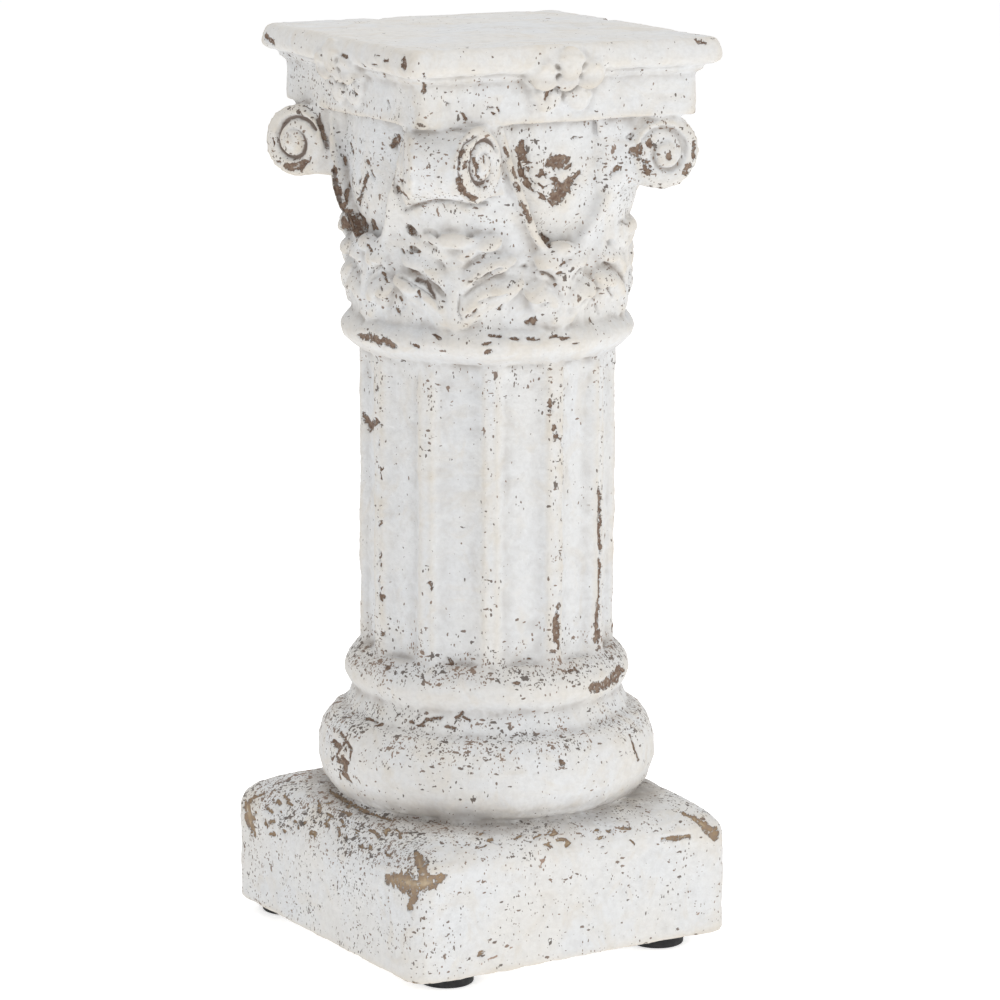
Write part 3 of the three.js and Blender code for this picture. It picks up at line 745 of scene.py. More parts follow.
def chips_out_of_sight(places, normals):
    """Chips like those in sight, on the sides that the photograph doesn't show."""
    draws = np.random.default_rng(7)
    away = normals @ np.array(camera_axes()[2])
    hidden = np.flatnonzero(away < TURNED_AWAY)
    chains = []
    for seed in draws.choice(hidden, HIDDEN_CHIPS, replace=False):
        place, width = places[seed], draws.uniform(*HIDDEN_WIDTHS) * MM
        chain = [(place, width)]
        for _ in range(draws.integers(1, 4)):
            step = draws.normal(0, HIDDEN_STEP, 3) * MM
            place = place + step * np.array([1, 1, HIDDEN_UPRIGHT])
            width = width * draws.uniform(*HIDDEN_WIDENING)
            chain.append((place, min(width, HIDDEN_WIDEST * MM)))
        chains.append(chain)
    return chains


def chip_field(chains, places):
    """1 in the middle of a chip, 0.5 at its edge, falling to 0 as far outside."""
    field = np.zeros(len(places))
    for chain in chains:
        for (start, first), (end, second) in zip(chain[:-1], chain[1:]):
            if np.linalg.norm(end - start) > LONGEST_DAB * MM:
                continue
            reach = 2 * max(first, second)
            low, high = np.minimum(start, end) - reach, np.maximum(start, end) + reach
            near = np.flatnonzero(np.all((places > low) & (places < high), axis=1))
            share, gap = near_line(places[near], start, end)
            width = first + (second - first) * share
            field[near] = np.maximum(field[near], 1 - gap / (2 * width))
    return field


def pixel_line(casting, pixels):
    """A line of the photograph's pixels as places on the casting."""
    places = [seen_point(casting, pixel) for pixel in pixels]
    return [place for place in places if place is not None]


def crack_field(cracks, places):
    """1 on a crack, falling to 0 two millimetres from it."""
    field = np.zeros(len(places))
    for line in cracks:
        near, gap = line_gaps(places, line, CRACK_REACH * MM)
        field[near] = np.maximum(field[near], 1 - gap / (CRACK_REACH * MM))
    return field


def line_gaps(places, line, reach):
    """The vertices near a line, and how far from it each one lies."""
    line = np.array([tuple(place) for place in line])
    low, high = line.min(axis=0) - reach, line.max(axis=0) + reach
    near = np.flatnonzero(np.all((places > low) & (places < high), axis=1))
    gap = np.full(len(near), 1.0)
    for start, end in zip(line[:-1], line[1:]):
        gap = np.minimum(gap, near_line(places[near], start, end)[1])
    return near, gap


STROKE_REACH, STROKE_FLOOR = 1.4, 0.25


def press_in(places, normals, strokes):
    """Press grooves into the skin; gives how dark each vertex is painted, as painted shade with dirt,
    from 0 to 1.
    """
    shade_and_dirt_amount = np.zeros(len(places))
    sunk = np.zeros(len(places))
    for line, half_width, depth, shade_and_dirt in strokes:
        reach = STROKE_REACH * half_width
        near, gap = line_gaps(places, line, 2 * reach)
        share = step_between(-gap, -reach, -STROKE_FLOOR * half_width)
        shade_and_dirt_amount[near] = np.maximum(shade_and_dirt_amount[near], share * shade_and_dirt)
        sunk[near] = np.maximum(sunk[near], share * depth)
    places -= normals * sunk[:, None]
    return shade_and_dirt_amount


def soften(places, edges, share, rounds):
    """Melt sharp steps where share is above 0."""
    inside = np.flatnonzero(share > 0)
    number = np.full(len(places), -1)
    number[inside] = np.arange(len(inside))
    kept = number[edges]
    kept = kept[np.all(kept >= 0, axis=1)]
    soft = spread_out(places[inside], kept, rounds)
    places[inside] += (soft - places[inside]) * share[inside, None]


FLUTE_SHARPNESS = 1.9


def sharpen_flutes(places):
    """Make the hollows fall off faster from the ridges between them."""
    x, y, z = (places / MM).T
    aside, ahead = x - AXIS_X, y - AXIS_Y
    radius = np.hypot(aside, ahead)
    depth = np.clip((SHAFT_RADIUS - radius) / FLUTE_DEPTH, 0, 1)
    ends = step_between(z, SHAFT_BOTTOM + 1, SHAFT_BOTTOM + 5)
    ends *= step_between(-z, 2 - SHAFT_TOP, 7 - SHAFT_TOP)
    more = FLUTE_DEPTH * (1 - (1 - depth) ** FLUTE_SHARPNESS - depth) * ends
    share = 1 - more / radius
    places[:, 0] = (AXIS_X + aside * share) * MM
    places[:, 1] = (AXIS_Y + ahead * share) * MM


# Heights where mouldings meet, how far the painted shade and dirt reach in millimetres, and how thick
# they lie.
CORNERS = (
    (SHAFT_BOTTOM, 6, 0.55), (SHAFT_TOP, 4, 0.5), (BELL_BOTTOM, 3, 0.25), (LEDGE_BOTTOM, 3, 0.5),
)


def corner_shade_and_grime(places):
    """Painted shade and dirt where the mouldings meet: most in the corner, falling to 0 a few millimetres
    away.
    """
    x, y, z = (places / MM).T
    radius = np.hypot(x - AXIS_X, y - AXIS_Y)
    corners = step_between(-z, -59, -51) * step_between(z, PLINTH_TOP - 5, PLINTH_TOP)
    corners *= step_between(-radius, -64.5, -58.5)
    for level, reach, most in CORNERS:
        corners = np.maximum(corners, most * (1 - np.clip(np.abs(z - level) / reach, 0, 1)))
    return corners


def beside_panels(places):
    """1 over the right-hand half of each panel and the web beside it, where the steps are soft."""
    x, y, z = (places / MM).T
    angle = np.degrees(np.arctan2(y - AXIS_Y, x - AXIS_X))
    turn = (angle + 45) % 90 - 45
    height = z - BELL_BOTTOM
    share = step_between(turn, 1, 8) * step_between(-turn, -43, -36)
    share *= step_between(height, 16, 26) * step_between(-height, -64, -59)
    return share * step_between(-np.hypot(x - AXIS_X, y - AXIS_Y), -58, -54)


def mesh_arrays(mesh):
    places = np.empty(len(mesh.vertices) * 3, np.float32)
    mesh.vertices.foreach_get("co", places)
    normals = np.empty(len(mesh.vertices) * 3, np.float32)
    mesh.vertices.foreach_get("normal", normals)
    edges = np.empty(len(mesh.edges) * 2, np.int32)
    mesh.edges.foreach_get("vertices", edges)
    places, normals = places.reshape(-1, 3), normals.reshape(-1, 3)
    return places.astype(float), normals.astype(float), edges.reshape(-1, 2)


def spread_out(values, edges, rounds):
    """Each vertex's value averaged with its neighbours', again and again."""
    size = len(values)
    values = values.reshape(size, -1)
    one, other = edges[:, 0], edges[:, 1]
    count = np.bincount(edges.ravel(), minlength=size).clip(1)
    for _ in range(rounds):
        columns = [
            np.bincount(one, column[other], size) + np.bincount(other, column[one], size)
            for column in values.T
        ]
        values = 0.5 * values + 0.5 * np.stack(columns, axis=1) / count[:, None]
    return values


def write_places(mesh, places):
    mesh.vertices.foreach_set("co", places.astype(np.float32).ravel())
    mesh.update()


def write_attribute(mesh, name, values):
    attribute = mesh.attributes.new(name, "FLOAT", "POINT")
    attribute.data.foreach_set("value", np.asarray(values, np.float32))


def step_between(values, low, high):
    share = np.clip((values - low) / (high - low), 0, 1)
    return share * share * (3 - 2 * share)


def speckle_density(places, normals):
    """How thick the speckles lie, from 0 to 1: most on ledges and near the foot of the shaft.

    Each zone adds its share, judged from the photograph; heights are millimetres.
    """
    x, y, z = (places / MM).T
    up = normals[:, 2]
    density = np.full(len(places), 0.17)
    leftward = step_between(-x + y, -60, 90)
    plinth_top = step_between(up, 0.2, 0.6) * (z < PLINTH_TOP + 3)
    density += plinth_top * (0.26 + 0.60 * leftward)
    density += (z < PLINTH_TOP) * (0.18 + 0.24 * leftward)
    torus = (z > 55) * (z < SHAFT_BOTTOM)
    density += torus * (0.62 * step_between(up, 0.0, 0.6) + 0.26 * leftward)
    shaft_foot = (z > SHAFT_BOTTOM - 3.5) * step_between(-z, -(SHAFT_BOTTOM + 22), -SHAFT_BOTTOM)
    density += 0.52 * shaft_foot
    radius = np.hypot(x - AXIS_X, y - AXIS_Y)
    on_shaft = (z > SHAFT_BOTTOM) * (z < SHAFT_TOP)
    density += on_shaft * (0.30 * step_between(radius, SHAFT_RADIUS - 0.9, SHAFT_RADIUS) - 0.08)
    density += 0.25 * on_shaft * step_between(z, SHAFT_TOP - 26, SHAFT_TOP - 8)
    leaves = step_between(z, BELL_BOTTOM - 10, BELL_BOTTOM + 2) * (z < BELL_BOTTOM + BELL_HEIGHT)
    density += 0.24 * leaves
    density -= 0.10 * (z > SHAFT_TOP) * (z < BELL_BOTTOM)
    bell_top = BELL_BOTTOM + BELL_HEIGHT
    density += 0.14 * step_between(z, bell_top - 40, bell_top - 20) * (z < bell_top - 2)
    density += (z > bell_top - 2) * (z < LIP_BOTTOM) * (0.10 + 0.24 * leftward)
    return np.clip(np.where(z > LIP_BOTTOM, 0.5 * density, density), 0, 1)


# How far apart the lumps of each kind of unevenness lie, in metres.
BROAD_SPACING, SMALL_SPACING, GRIT_SPACING = 0.026, 0.0085, 0.0022
# Vertices closer than the weld gap are one; the steps beside the panels melt in so many rounds.
WELD_GAP, SOFT_ROUNDS = 0.005, 120
# How dark the creases are painted: painted shade with dirt.
LEAF_CREASE_HALF, LEAF_CREASE_SHADE_AND_DIRT = 0.8, 0.75
FLOWER_CREASE_HALF, FLOWER_CREASE_SHARE, FLOWER_CREASE_SHADE_AND_DIRT = 0.6, 0.7, 0.6
CHIP_RIM, CHIP_FLOOR = 0.35, 0.6
# A hollow or ridge is what stands off the smoothed skin; this many millimetres count as full.
HOLLOW_ROUNDS, HOLLOW_SOFTENING, FULL_HOLLOW = 24, 2, 0.5


class COLUMN_OT_casting(bpy.types.Operator):
    """Fuse the solid and its carving into one worn skin"""

    bl_idname = "column.casting"
    bl_label = "Casting"

    def execute(self, context):
        skin = context.scene.column_skin
        body = bpy.data.objects.new("casting_body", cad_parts["column"].data.copy())
        bpy.context.scene.collection.objects.link(body)
        pick(body)
        bpy.ops.object.mode_set(mode="EDIT")
        bpy.ops.mesh.select_all(action="SELECT")
        bpy.ops.mesh.remove_doubles(threshold=WELD_GAP * MM)
        bpy.ops.object.mode_set(mode="OBJECT")
        carving = [bpy.data.objects[name] for name in ("leaves", "rims", "coils", "flowers")]
        casting = join_pieces([body, *carving], "column_casting")

        apply_modifier(casting, "REMESH", mode="VOXEL", voxel_size=skin.voxel, adaptivity=0.0)
        apply_modifier(casting, "SMOOTH", factor=0.5, iterations=2)
        self.carve(casting, context.scene.column_carving, skin)
        triangles = sum(len(face.vertices) - 2 for face in casting.data.polygons)
        apply_modifier(casting, "DECIMATE", ratio=min(1.0, skin.most_triangles / triangles))
        self.keep_inside(casting)
        bpy.ops.object.shade_smooth()
        casting.data.materials.clear()
        casting.data.materials.append(lime_washed_cement(context.scene.column_finish))
        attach(casting, "root")
        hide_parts("column")
        return {"FINISHED"}

    def carve(self, casting, carving, skin):
        """Cut grooves, creases, cracks and chips, make the skin uneven and record where it is worn and
        where shade is painted.
        """
        chains = chip_chains(casting)
        cracks = [pixel_line(casting, pixels) for pixels in CRACKS.values()]
        crease = carving.crease_depth
        # The last value of each stroke is how dark its groove is painted: painted shade with dirt.
        strokes = [
            (line, LEAF_CREASE_HALF * MM, crease, LEAF_CREASE_SHADE_AND_DIRT) for line in leaf_creases()
        ]
        strokes += [
            (line, FLOWER_CREASE_HALF * MM, crease * FLOWER_CREASE_SHARE, FLOWER_CREASE_SHADE_AND_DIRT)
            for line in flower_creases()
        ]
        strokes += [
            (pixel_line(casting, pixels), half_width * MM, depth * MM, shade_and_dirt)
            for pixels, half_width, depth, shade_and_dirt in FOLDS.values()
        ]
        # The coil grooves are painted dark as painted shade with dirt; the clean coil gets only a little.
        for number, end in enumerate(volute_ends()):
            shade_and_dirt = CLEAN_COIL_SHADE_AND_DIRT if number == CLEAN_COIL else 1.0
            line = coil_groove(end, carving.coil_turns)
            depth = carving.coil_depth * (CLEAN_COIL_DEPTH if number == CLEAN_COIL else 1.0)
            strokes.append((line, carving.coil_groove, depth, shade_and_dirt))
        places, normals, edges = mesh_arrays(casting.data)
        soften(places, edges, beside_panels(places), SOFT_ROUNDS)
        sharpen_flutes(places)
        groove = press_in(places, normals, strokes)
        write_places(casting.data, places)
        self.lumps(casting, "broad", BROAD_SPACING, skin.broad_lumps)
        self.lumps(casting, "small", SMALL_SPACING, skin.small_lumps)
        self.lumps(casting, "grit", GRIT_SPACING, skin.grit)

        places, normals, edges = mesh_arrays(casting.data)
        chains += chips_out_of_sight(places, normals)
        chips = chip_field(chains, places)
        places -= normals * (step_between(chips, CHIP_RIM, CHIP_FLOOR) * skin.chip_depth)[:, None]
        write_places(casting.data, places)
        write_attribute(casting.data, "cracks", crack_field(cracks, places))
        self.record_wear_and_shade(casting, chips, groove)

    @staticmethod
    def lumps(casting, name, spacing, height):
        """Push the skin in and out by a soft cloud pattern."""
        pattern = bpy.data.textures.new("cast_" + name, "CLOUDS")
        pattern.noise_scale = spacing
        pattern.noise_depth = 1
        apply_modifier(
            casting, "DISPLACE", texture=pattern, texture_coords="LOCAL", strength=height, mid_level=0.5
        )

    @staticmethod
    def keep_inside(casting):
        """Hold the skin inside the solid's box."""
        places, _, _ = mesh_arrays(casting.data)
        low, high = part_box("column")
        write_places(casting.data, np.clip(places, np.array(low), np.array(high)))

    @staticmethod
    def record_wear_and_shade(casting, chips, groove):
        """Keep hollows, ridges, dirt with painted shade, chips and speckle density on the mesh for the
        finish.
        """
        places, normals, edges = mesh_arrays(casting.data)
        smooth = spread_out(places, edges, HOLLOW_ROUNDS)
        hollow = ((smooth - places) * normals).sum(axis=1) / MM
        hollow = spread_out(hollow, edges, HOLLOW_SOFTENING)[:, 0] / FULL_HOLLOW
        radius = np.hypot(places[:, 0] / MM - AXIS_X, places[:, 1] / MM - AXIS_Y)
        height = places[:, 2] / MM
        on_shaft = (height > SHAFT_BOTTOM) * (height < SHAFT_TOP)
        # The hollow, corner and groove values drive painted shade with dirt, and the flute value a
        # painted cool shade; chips, ridges and speckles are real wear.
        wear_and_shade = {
            "hollow": np.clip(hollow, 0, 1),
            "corner_shade_and_grime": corner_shade_and_grime(places),
            "ridge": np.clip(-hollow, 0, 1),
            "groove": groove,
            "flute": np.clip((SHAFT_RADIUS - radius) / FLUTE_DEPTH, 0, 1) * on_shaft,
            "chips": chips,
            "speckles": speckle_density(places, normals),
        }
        for name, values in wear_and_shade.items():
            write_attribute(casting.data, name, values)


# Finishes.


def new_group(name, inputs, outputs):
    """An empty shader group with named inputs and outputs."""
    tree = bpy.data.node_groups.new(name, "ShaderNodeTree")
    for label, kind, value in inputs:
        socket = tree.interface.new_socket(label, in_out="INPUT", socket_type=kind)
        if value is not None:
            socket.default_value = value
    for label, kind in outputs:
        tree.interface.new_socket(label, in_out="OUTPUT", socket_type=kind)
    return tree, tree.nodes.new("NodeGroupInput"), tree.nodes.new("NodeGroupOutput")


def put(tree, kind, values=None, **settings):
    """A node with its settings, each input either linked or given its value."""
    made = tree.nodes.new(kind)
    for key, value in settings.items():
        setattr(made, key, value)
    for key, value in (values or {}).items():
        if isinstance(value, bpy.types.NodeSocket):
            tree.links.new(value, made.inputs[key])
        else:
            made.inputs[key].default_value = value
    return made


def maths(tree, operation, first, second=0.0, clamp=False):
    node = put(tree, "ShaderNodeMath", {0: first, 1: second}, operation=operation, use_clamp=clamp)
    return node.outputs[0]


def times(tree, first, second):
    return maths(tree, "MULTIPLY", first, second)


def plus(tree, first, second, clamp=False):
    return maths(tree, "ADD", first, second, clamp)


def either(tree, first, second):
    return maths(tree, "MAXIMUM", first, second)


def ramp(tree, value, low, high):
    """0 below low, 1 above high, soft between."""
    node = put(
        tree,
        "ShaderNodeMapRange",
        {"Value": value, "From Min": low, "From Max": high},
        interpolation_type="SMOOTHSTEP",
    )
    return node.outputs["Result"]


def noise(tree, vector, scale, detail=3.0, roughness=0.55, distortion=0.0):
    return put(
        tree,
        "ShaderNodeTexNoise",
        {"Vector": vector, "Scale": scale, "Detail": detail, "Roughness": roughness,
         "Distortion": distortion},
    )


def blend(tree, share, first, second):
    """The first colour where share is 0, the second where it is 1."""
    node = put(tree, "ShaderNodeMix", {0: share, 6: first, 7: second}, data_type="RGBA")
    return node.outputs[2]


def speckle_group():
    """Small elongated specks: one in each chosen cell of a cell pattern."""
    tree, ins, outs = new_group(
        "Speckles",
        [("Vector", "NodeSocketVector", None), ("Scale", "NodeSocketFloat", 500.0),
         ("Size", "NodeSocketFloat", 0.3), ("Density", "NodeSocketFloat", 0.3),
         ("Waver", "NodeSocketFloat", 0.0008)],
        [("Mask", "NodeSocketFloat")],
    )
    waver = noise(tree, ins.outputs["Vector"], 900.0, 1.0)
    centred = put(tree, "ShaderNodeVectorMath", {0: waver.outputs["Color"], 1: (0.5, 0.5, 0.5)},
                  operation="SUBTRACT")
    scaled = put(tree, "ShaderNodeVectorMath", {0: centred.outputs[0], "Scale": ins.outputs["Waver"]},
                 operation="SCALE")
    moved = put(tree, "ShaderNodeVectorMath", {0: ins.outputs["Vector"], 1: scaled.outputs[0]},
                operation="ADD")
    cells = put(tree, "ShaderNodeTexVoronoi", {"Vector": moved.outputs[0], "Scale": ins.outputs["Scale"]})
    parts = put(tree, "ShaderNodeSeparateColor", {"Color": cells.outputs["Color"]})
    chosen = maths(tree, "LESS_THAN", parts.outputs["Red"], ins.outputs["Density"])
    smallest, sharpness = 0.25, 16.0
    share = plus(tree, times(tree, parts.outputs["Green"], 1 - smallest), smallest)
    radius = times(tree, share, ins.outputs["Size"])
    depth = maths(tree, "SUBTRACT", radius, cells.outputs["Distance"])
    edge = maths(tree, "MULTIPLY", depth, sharpness, clamp=True)
    tree.links.new(times(tree, edge, chosen), outs.inputs["Mask"])
    return tree


PIT_LIFT, PIT_EDGE, RAGGED_EDGE = 0.165, (0.745, 0.775), (0.46, 0.54)


def pits_group():
    """Pits where a noise passes a threshold that falls as they lie thicker."""
    tree, ins, outs = new_group(
        "Pits",
        [("Vector", "NodeSocketVector", None), ("Scale", "NodeSocketFloat", 900.0),
         ("Density", "NodeSocketFloat", 0.5)],
        [("Mask", "NodeSocketFloat")],
    )
    pattern = noise(tree, ins.outputs["Vector"], ins.outputs["Scale"], 2.0, 0.6).outputs[0]
    lift = times(tree, ins.outputs["Density"], PIT_LIFT)
    tree.links.new(ramp(tree, plus(tree, pattern, lift), *PIT_EDGE), outs.inputs["Mask"])
    return tree


def ragged_group():
    """A soft field cut to a ragged patch by noise."""
    tree, ins, outs = new_group(
        "Ragged patch",
        [("Vector", "NodeSocketVector", None), ("Field", "NodeSocketFloat", 0.0),
         ("Scale", "NodeSocketFloat", 300.0), ("Raggedness", "NodeSocketFloat", 0.5)],
        [("Mask", "NodeSocketFloat")],
    )
    pattern = noise(tree, ins.outputs["Vector"], ins.outputs["Scale"], 5.0, 0.65)
    centred = maths(tree, "SUBTRACT", pattern.outputs[0], 0.5)
    swing = times(tree, centred, ins.outputs["Raggedness"])
    total = plus(tree, ins.outputs["Field"], swing)
    tree.links.new(ramp(tree, total, *RAGGED_EDGE), outs.inputs["Mask"])
    return tree


def use_group(tree, group, values):
    return put(tree, "ShaderNodeGroup", values, node_tree=group).outputs[0]


def new_material(name):
    material = bpy.data.materials.new(name)
    material.use_nodes = True
    tree = material.node_tree
    shader = tree.nodes["Principled BSDF"]
    return material, tree, shader


# Tints that lie over the wash and the cement.
# This tint darkens the hollows and corners: painted shade, with some real dirt.
SHADE_AND_DIRT_TINT = (0.27, 0.23, 0.195, 1.0)
MOTTLE_TINT = (0.38, 0.36, 0.335, 1.0)
# Dark brown in creases, grooves and folds: painted shade with some dirt.
CREASE_TINT = (0.15, 0.105, 0.08, 1.0)
SPECK_BROWN = (0.22, 0.145, 0.10, 1.0)
CRACK_TINT = (0.27, 0.15, 0.085, 1.0)
CEMENT_GRAIN = (0.28, 0.21, 0.16, 1.0)
PALE_CEMENT = (0.52, 0.42, 0.29, 1.0)
# Heights in metres between which the cement turns from brown to ochre.
OCHRE_FROM, OCHRE_FULL = 0.062, 0.050
# Layers of specks: stretched upright or not, cells a metre, size, crowding and waver in metres.
SPECK_LAYERS = (
    (True, 1250.0, 0.46, 0.75, 0.0008),
    (False, 750.0, 0.42, 0.45, 0.0012),
    (True, 400.0, 0.36, 0.20, 0.0020),
)
PIT_LAYERS = ((True, 900.0), (False, 520.0))
STRETCH = {True: (1.0, 1.0, 0.55), False: (0.6, 0.6, 1.2)}


def wash_colour(tree, place, finish, patterns, worn):
    """The lime wash with its cool and cream parts and mottling, and painted shade: a cool tint in the
    flute hollows, and dirt with shade in the hollows, corners and dark creases.
    """
    broad, middle, fine = patterns
    cool = (*finish.cool_wash_and_shade, 1.0)
    wash = blend(tree, ramp(tree, broad, 0.38, 0.62), (*finish.wash, 1.0), cool)
    # Painted shade: the cool wash tints the flute hollows, most where they are deepest.
    wash = blend(tree, times(tree, worn("flute"), 0.5), wash, cool)
    brushed = noise(tree, place, 60.0, 3.0, 0.6, 1.6).outputs[0]
    cream = times(tree, ramp(tree, brushed, 0.48, 0.70), 0.42)
    cream = plus(tree, cream, times(tree, worn("ridge"), 0.85), clamp=True)
    wash = blend(tree, times(tree, cream, 0.5), wash, (*finish.cream, 1.0))
    # Painted shade with dirt: the hollows and the corners where mouldings meet are painted darker.
    low_places = either(tree, worn("hollow"), times(tree, worn("corner_shade_and_grime"), 0.7))
    shade_and_dirt = times(tree, low_places, ramp(tree, middle, 0.25, 0.6))
    wash = blend(tree, times(tree, shade_and_dirt, 0.7), wash, SHADE_AND_DIRT_TINT)
    wash = blend(tree, times(tree, ramp(tree, fine, 0.35, 0.75), 0.14), wash, MOTTLE_TINT)
    # Painted shade: dark lines along the creases, grooves and folds, with some dirt.
    uneven = times(tree, maths(tree, "SUBTRACT", middle, 0.5), 1.3)
    dark_line = ramp(tree, plus(tree, worn("groove"), uneven), 0.5, 0.85)
    return blend(tree, times(tree, dark_line, 0.8), wash, CREASE_TINT)


def speck_mask(tree, place, worn):
    """Where the fine specks and pits lie."""
    density = worn("speckles")
    patches = plus(tree, noise(tree, place, 75.0, 4.0, 0.65).outputs[0], times(tree, density, 0.18))
    crowd = times(tree, density, ramp(tree, patches, 0.44, 0.68))
    crowd = either(tree, crowd, times(tree, ramp(tree, worn("chips"), 0.15, 0.5), 0.4))
    stretched = {
        upright: put(tree, "ShaderNodeMapping", {"Vector": place, "Scale": scale}).outputs[0]
        for upright, scale in STRETCH.items()
    }
    specks, pits = speckle_group(), pits_group()
    mask = 0.0
    for upright, scale, size, crowding, waver in SPECK_LAYERS:
        values = {"Vector": stretched[upright], "Scale": scale, "Size": size, "Waver": waver}
        values["Density"] = times(tree, crowd, crowding)
        mask = either(tree, use_group(tree, specks, values), mask)
    for upright, scale in PIT_LAYERS:
        values = {"Vector": stretched[upright], "Scale": scale, "Density": crowd}
        mask = either(tree, use_group(tree, pits, values), mask)
    return mask


def bare_mask(tree, place, worn):
    """Where the wash is off: the chips, and flakes along the ridges, with wash left in them."""
    ragged = ragged_group()
    values = {"Vector": place, "Field": worn("chips"), "Scale": 420.0, "Raggedness": 1.9}
    chip = use_group(tree, ragged, values)
    flaking = ramp(tree, noise(tree, place, 45.0, 3.0).outputs[0], 0.44, 0.66)
    flaking = times(tree, times(tree, worn("ridge"), flaking), 0.5)
    values = {"Vector": place, "Field": flaking, "Scale": 520.0, "Raggedness": 0.8}
    bare = either(tree, chip, use_group(tree, ragged, values))
    left_over = ramp(tree, noise(tree, place, 800.0, 3.0).outputs[0], 0.58, 0.64)
    left_over = times(tree, left_over, 0.5)
    return times(tree, bare, maths(tree, "SUBTRACT", 1.0, left_over))


def cement_colour(tree, place, finish, patterns, worn):
    """The cement under the wash: brown, and ochre with pale middles low down."""
    _, middle, fine = patterns
    height = put(tree, "ShaderNodeSeparateXYZ", {"Vector": place}).outputs["Z"]
    low_down = ramp(tree, height, OCHRE_FROM, OCHRE_FULL)
    cement = blend(tree, low_down, (*finish.cement, 1.0), (*finish.ochre, 1.0))
    cement = blend(tree, ramp(tree, fine, 0.3, 0.7), cement, CEMENT_GRAIN)
    deep = times(tree, ramp(tree, worn("chips"), 0.72, 0.95), ramp(tree, middle, 0.42, 0.58))
    return blend(tree, times(tree, deep, low_down), cement, PALE_CEMENT)


def lime_washed_cement(finish):
    """Brown cement under a worn lime wash, with chips, specks, stains, dirt, and shade painted into its
    hollows and creases.
    """
    material, tree, shader = new_material("Lime-washed cement")
    place = put(tree, "ShaderNodeTexCoord").outputs["Object"]

    # Reads a mesh attribute; some hold real wear, others the painted shade in hollows, corners and
    # creases.
    def worn(name):
        return put(tree, "ShaderNodeAttribute", attribute_name=name).outputs["Fac"]

    broad = noise(tree, place, 28.0, 4.0).outputs[0]
    middle = noise(tree, place, 110.0, 4.0, 0.6).outputs[0]
    fine = noise(tree, place, 620.0, 3.0, 0.6).outputs[0]
    patterns = (broad, middle, fine)
    specks = speck_mask(tree, place, worn)
    bare = bare_mask(tree, place, worn)
    waver = times(tree, maths(tree, "SUBTRACT", fine, 0.5), 0.5)
    crack = ramp(tree, plus(tree, worn("cracks"), waver), 0.74, 0.84)

    speck_tint = blend(
        tree, ramp(tree, middle, 0.4, 0.62), (*finish.speckle, 1.0), SPECK_BROWN
    )
    wash = wash_colour(tree, place, finish, patterns, worn)
    surface = blend(tree, times(tree, specks, 0.88), wash, speck_tint)
    surface = blend(tree, times(tree, crack, 0.8), surface, CRACK_TINT)
    surface = blend(tree, bare, surface, cement_colour(tree, place, finish, patterns, worn))
    tree.links.new(surface, shader.inputs["Base Color"])

    shader.inputs["Roughness"].default_value = 0.86
    shader.inputs["Specular IOR Level"].default_value = 0.3
    relief = times(tree, noise(tree, place, 1500.0, 3.0, 0.7).outputs[0], 0.18)
    relief = plus(tree, relief, times(tree, fine, 0.42))
    relief = plus(tree, relief, times(tree, middle, 0.8))
    relief = maths(tree, "SUBTRACT", relief, times(tree, bare, 0.9))
    bump = put(tree, "ShaderNodeBump", {"Strength": 0.9, "Distance": 0.0007, "Height": relief})
    tree.links.new(bump.outputs["Normal"], shader.inputs["Normal"])
    return material


RUBBER_TINT, DUST_TINT = (0.009, 0.009, 0.010, 1.0), (0.12, 0.115, 0.11, 1.0)


def black_rubber():
    """Dull black rubber with a little dust."""
    material, tree, shader = new_material("Black rubber")
    place = put(tree, "ShaderNodeTexCoord").outputs["Object"]
    dust = times(tree, ramp(tree, noise(tree, place, 400.0, 4.0).outputs[0], 0.45, 0.8), 0.2)
    tree.links.new(blend(tree, dust, RUBBER_TINT, DUST_TINT), shader.inputs["Base Color"])
    shader.inputs["Roughness"].default_value = 0.72
    grain = noise(tree, place, 1800.0, 2.0).outputs[0]
    bump = put(tree, "ShaderNodeBump", {"Strength": 0.3, "Distance": 0.0002, "Height": grain})
    tree.links.new(bump.outputs["Normal"], shader.inputs["Normal"])
    return material


PADS = ("foot_front_left", "foot_front_right", "foot_back_left", "foot_back_right")
# How far the dressed pad stays inside the solid one, and its rounded edge, in millimetres.
PAD_INSIDE, PAD_EDGE = 0.15, 0.7


class COLUMN_OT_pads(bpy.types.Operator):
    """Four rubber pads, each with rounded edges"""

    bl_idname = "column.pads"
    bl_label = "Rubber pads"

    def execute(self, context):
        rubber = black_rubber()
        for node in PADS:
            low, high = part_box(node)
            pad = added(
                bpy.ops.mesh.primitive_cylinder_add,
                vertices=64,
                radius=(high.x - low.x) / 2 - PAD_INSIDE * MM,
                depth=high.z - low.z,
                location=(low + high) / 2,
            )
            pad.name = node.replace("foot", "pad")
            apply_modifier(
                pad, "BEVEL", width=PAD_EDGE * MM, segments=4, limit_method="ANGLE",
                angle_limit=math.radians(50),
            )
            bpy.ops.object.shade_smooth_by_angle(angle=math.radians(40))
            pad.data.materials.append(rubber)
            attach(pad, "root")
            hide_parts(node)
        return {"FINISHED"}


FLOOR_SIZE, AIM_HEIGHT = 30.0, 0.15
# Each light: place and side in metres, share of the key light's power, and tint.
LIGHTS = {
    "key": ((0.95, -1.45, 0.85), 0.9, 1.0, (1.0, 0.99, 0.97)),
    "front": ((-0.75, -1.4, 0.7), 1.0, 0.32, (1.0, 1.0, 1.0)),
    "fill_left": ((-1.5, -0.2, 0.8), 1.0, 0.08, (0.9, 0.9, 1.0)),
    "above": ((0.0, 0.1, 1.7), 1.2, 1.15, (1.0, 1.0, 1.0)),
    "back": ((0.3, 1.5, 1.1), 1.2, 0.4, (1.0, 1.0, 1.0)),
}


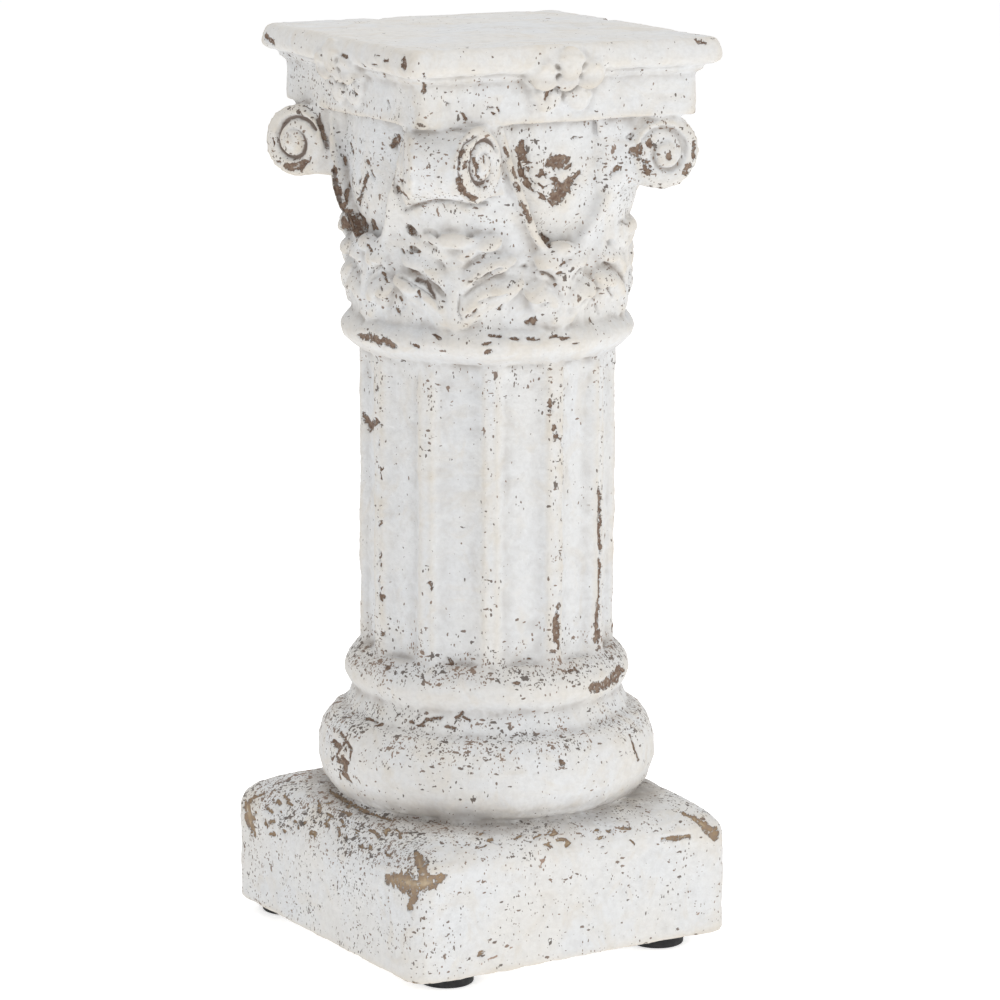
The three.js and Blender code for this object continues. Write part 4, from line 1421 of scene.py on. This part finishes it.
class COLUMN_OT_stage(bpy.types.Operator):
    """Floor, soft lights and the photograph's camera"""

    bl_idname = "column.stage"
    bl_label = "Stage"

    def execute(self, context):
        scene = context.scene
        look = scene.column_stage
        deselect()
        bpy.ops.mesh.primitive_plane_add(size=FLOOR_SIZE, location=(0, 0, 0))
        floor = bpy.context.view_layer.objects.active
        floor.name = "floor"
        paint, _, shader = new_material("Pale floor")
        shader.inputs["Base Color"].default_value = (*look.floor, 1.0)
        shader.inputs["Roughness"].default_value = 0.9
        shader.inputs["Emission Color"].default_value = (1.0, 1.0, 1.0, 1.0)
        shader.inputs["Emission Strength"].default_value = look.glow
        floor.data.materials.append(paint)

        world = bpy.data.worlds.new("Studio")
        world.use_nodes = True
        world.node_tree.nodes["Background"].inputs[0].default_value = (1.0, 1.0, 1.0, 1.0)
        world.node_tree.nodes["Background"].inputs[1].default_value = look.world
        scene.world = world
        for name, (place, size, share, tint) in LIGHTS.items():
            self.light(name, place, size, look.key * share, tint)

        right, up, back = camera_axes()
        camera = bpy.data.cameras.new("photograph_camera")
        camera.lens, camera.sensor_width = CAMERA_LENS, CAMERA_SENSOR
        camera.clip_start, camera.clip_end = 0.05, 50.0
        holder = bpy.data.objects.new("photograph_camera", camera)
        scene.collection.objects.link(holder)
        turn = Matrix((right, up, back)).transposed().to_4x4()
        holder.matrix_world = Matrix.Translation(camera_place()) @ turn
        scene.camera = holder
        scene.view_settings.view_transform = "Standard"
        return {"FINISHED"}

    @staticmethod
    def light(name, place, size, power, colour):
        """A square soft light that faces the column."""
        lamp = bpy.data.lights.new(name, "AREA")
        lamp.shape = "SQUARE"
        lamp.size = size
        lamp.energy = power
        lamp.color = colour
        holder = bpy.data.objects.new(name, lamp)
        bpy.context.scene.collection.objects.link(holder)
        holder.location = place
        ahead = Vector((0, 0, AIM_HEIGHT)) - Vector(place)
        holder.rotation_euler = ahead.to_track_quat("-Z", "Y").to_euler()


class COLUMN_PT_build(bpy.types.Panel):
    """Lists the column's pieces and settings"""

    bl_idname = "COLUMN_PT_build"
    bl_label = "Decorative column"
    bl_space_type = "VIEW_3D"
    bl_region_type = "UI"
    bl_category = "Column"

    def draw(self, context):
        for name in OPERATORS:
            self.layout.operator("column." + name)
        for name in GROUPS:
            group = getattr(context.scene, name)
            for key in group.__annotations__:
                self.layout.prop(group, key)


GROUPS = {
    "column_carving": ColumnCarving,
    "column_skin": ColumnSkin,
    "column_finish": ColumnFinish,
    "column_stage": ColumnStage,
}
OPERATORS = ("leaves", "panel_rims", "volute_ends", "flowers", "casting", "pads", "stage")
CLASSES = (
    *GROUPS.values(),
    COLUMN_OT_leaves,
    COLUMN_OT_panel_rims,
    COLUMN_OT_volute_ends,
    COLUMN_OT_flowers,
    COLUMN_OT_casting,
    COLUMN_OT_pads,
    COLUMN_OT_stage,
    COLUMN_PT_build,
)


def register():
    for made in CLASSES:
        bpy.utils.register_class(made)
    for name, group in GROUPS.items():
        setattr(bpy.types.Scene, name, bpy.props.PointerProperty(type=group))


def unregister():
    for name in GROUPS:
        delattr(bpy.types.Scene, name)
    for made in reversed(CLASSES):
        bpy.utils.unregister_class(made)


def main():
    register()
    for name in OPERATORS:
        getattr(bpy.ops.column, name)()


if __name__ == "__main__":
    main()
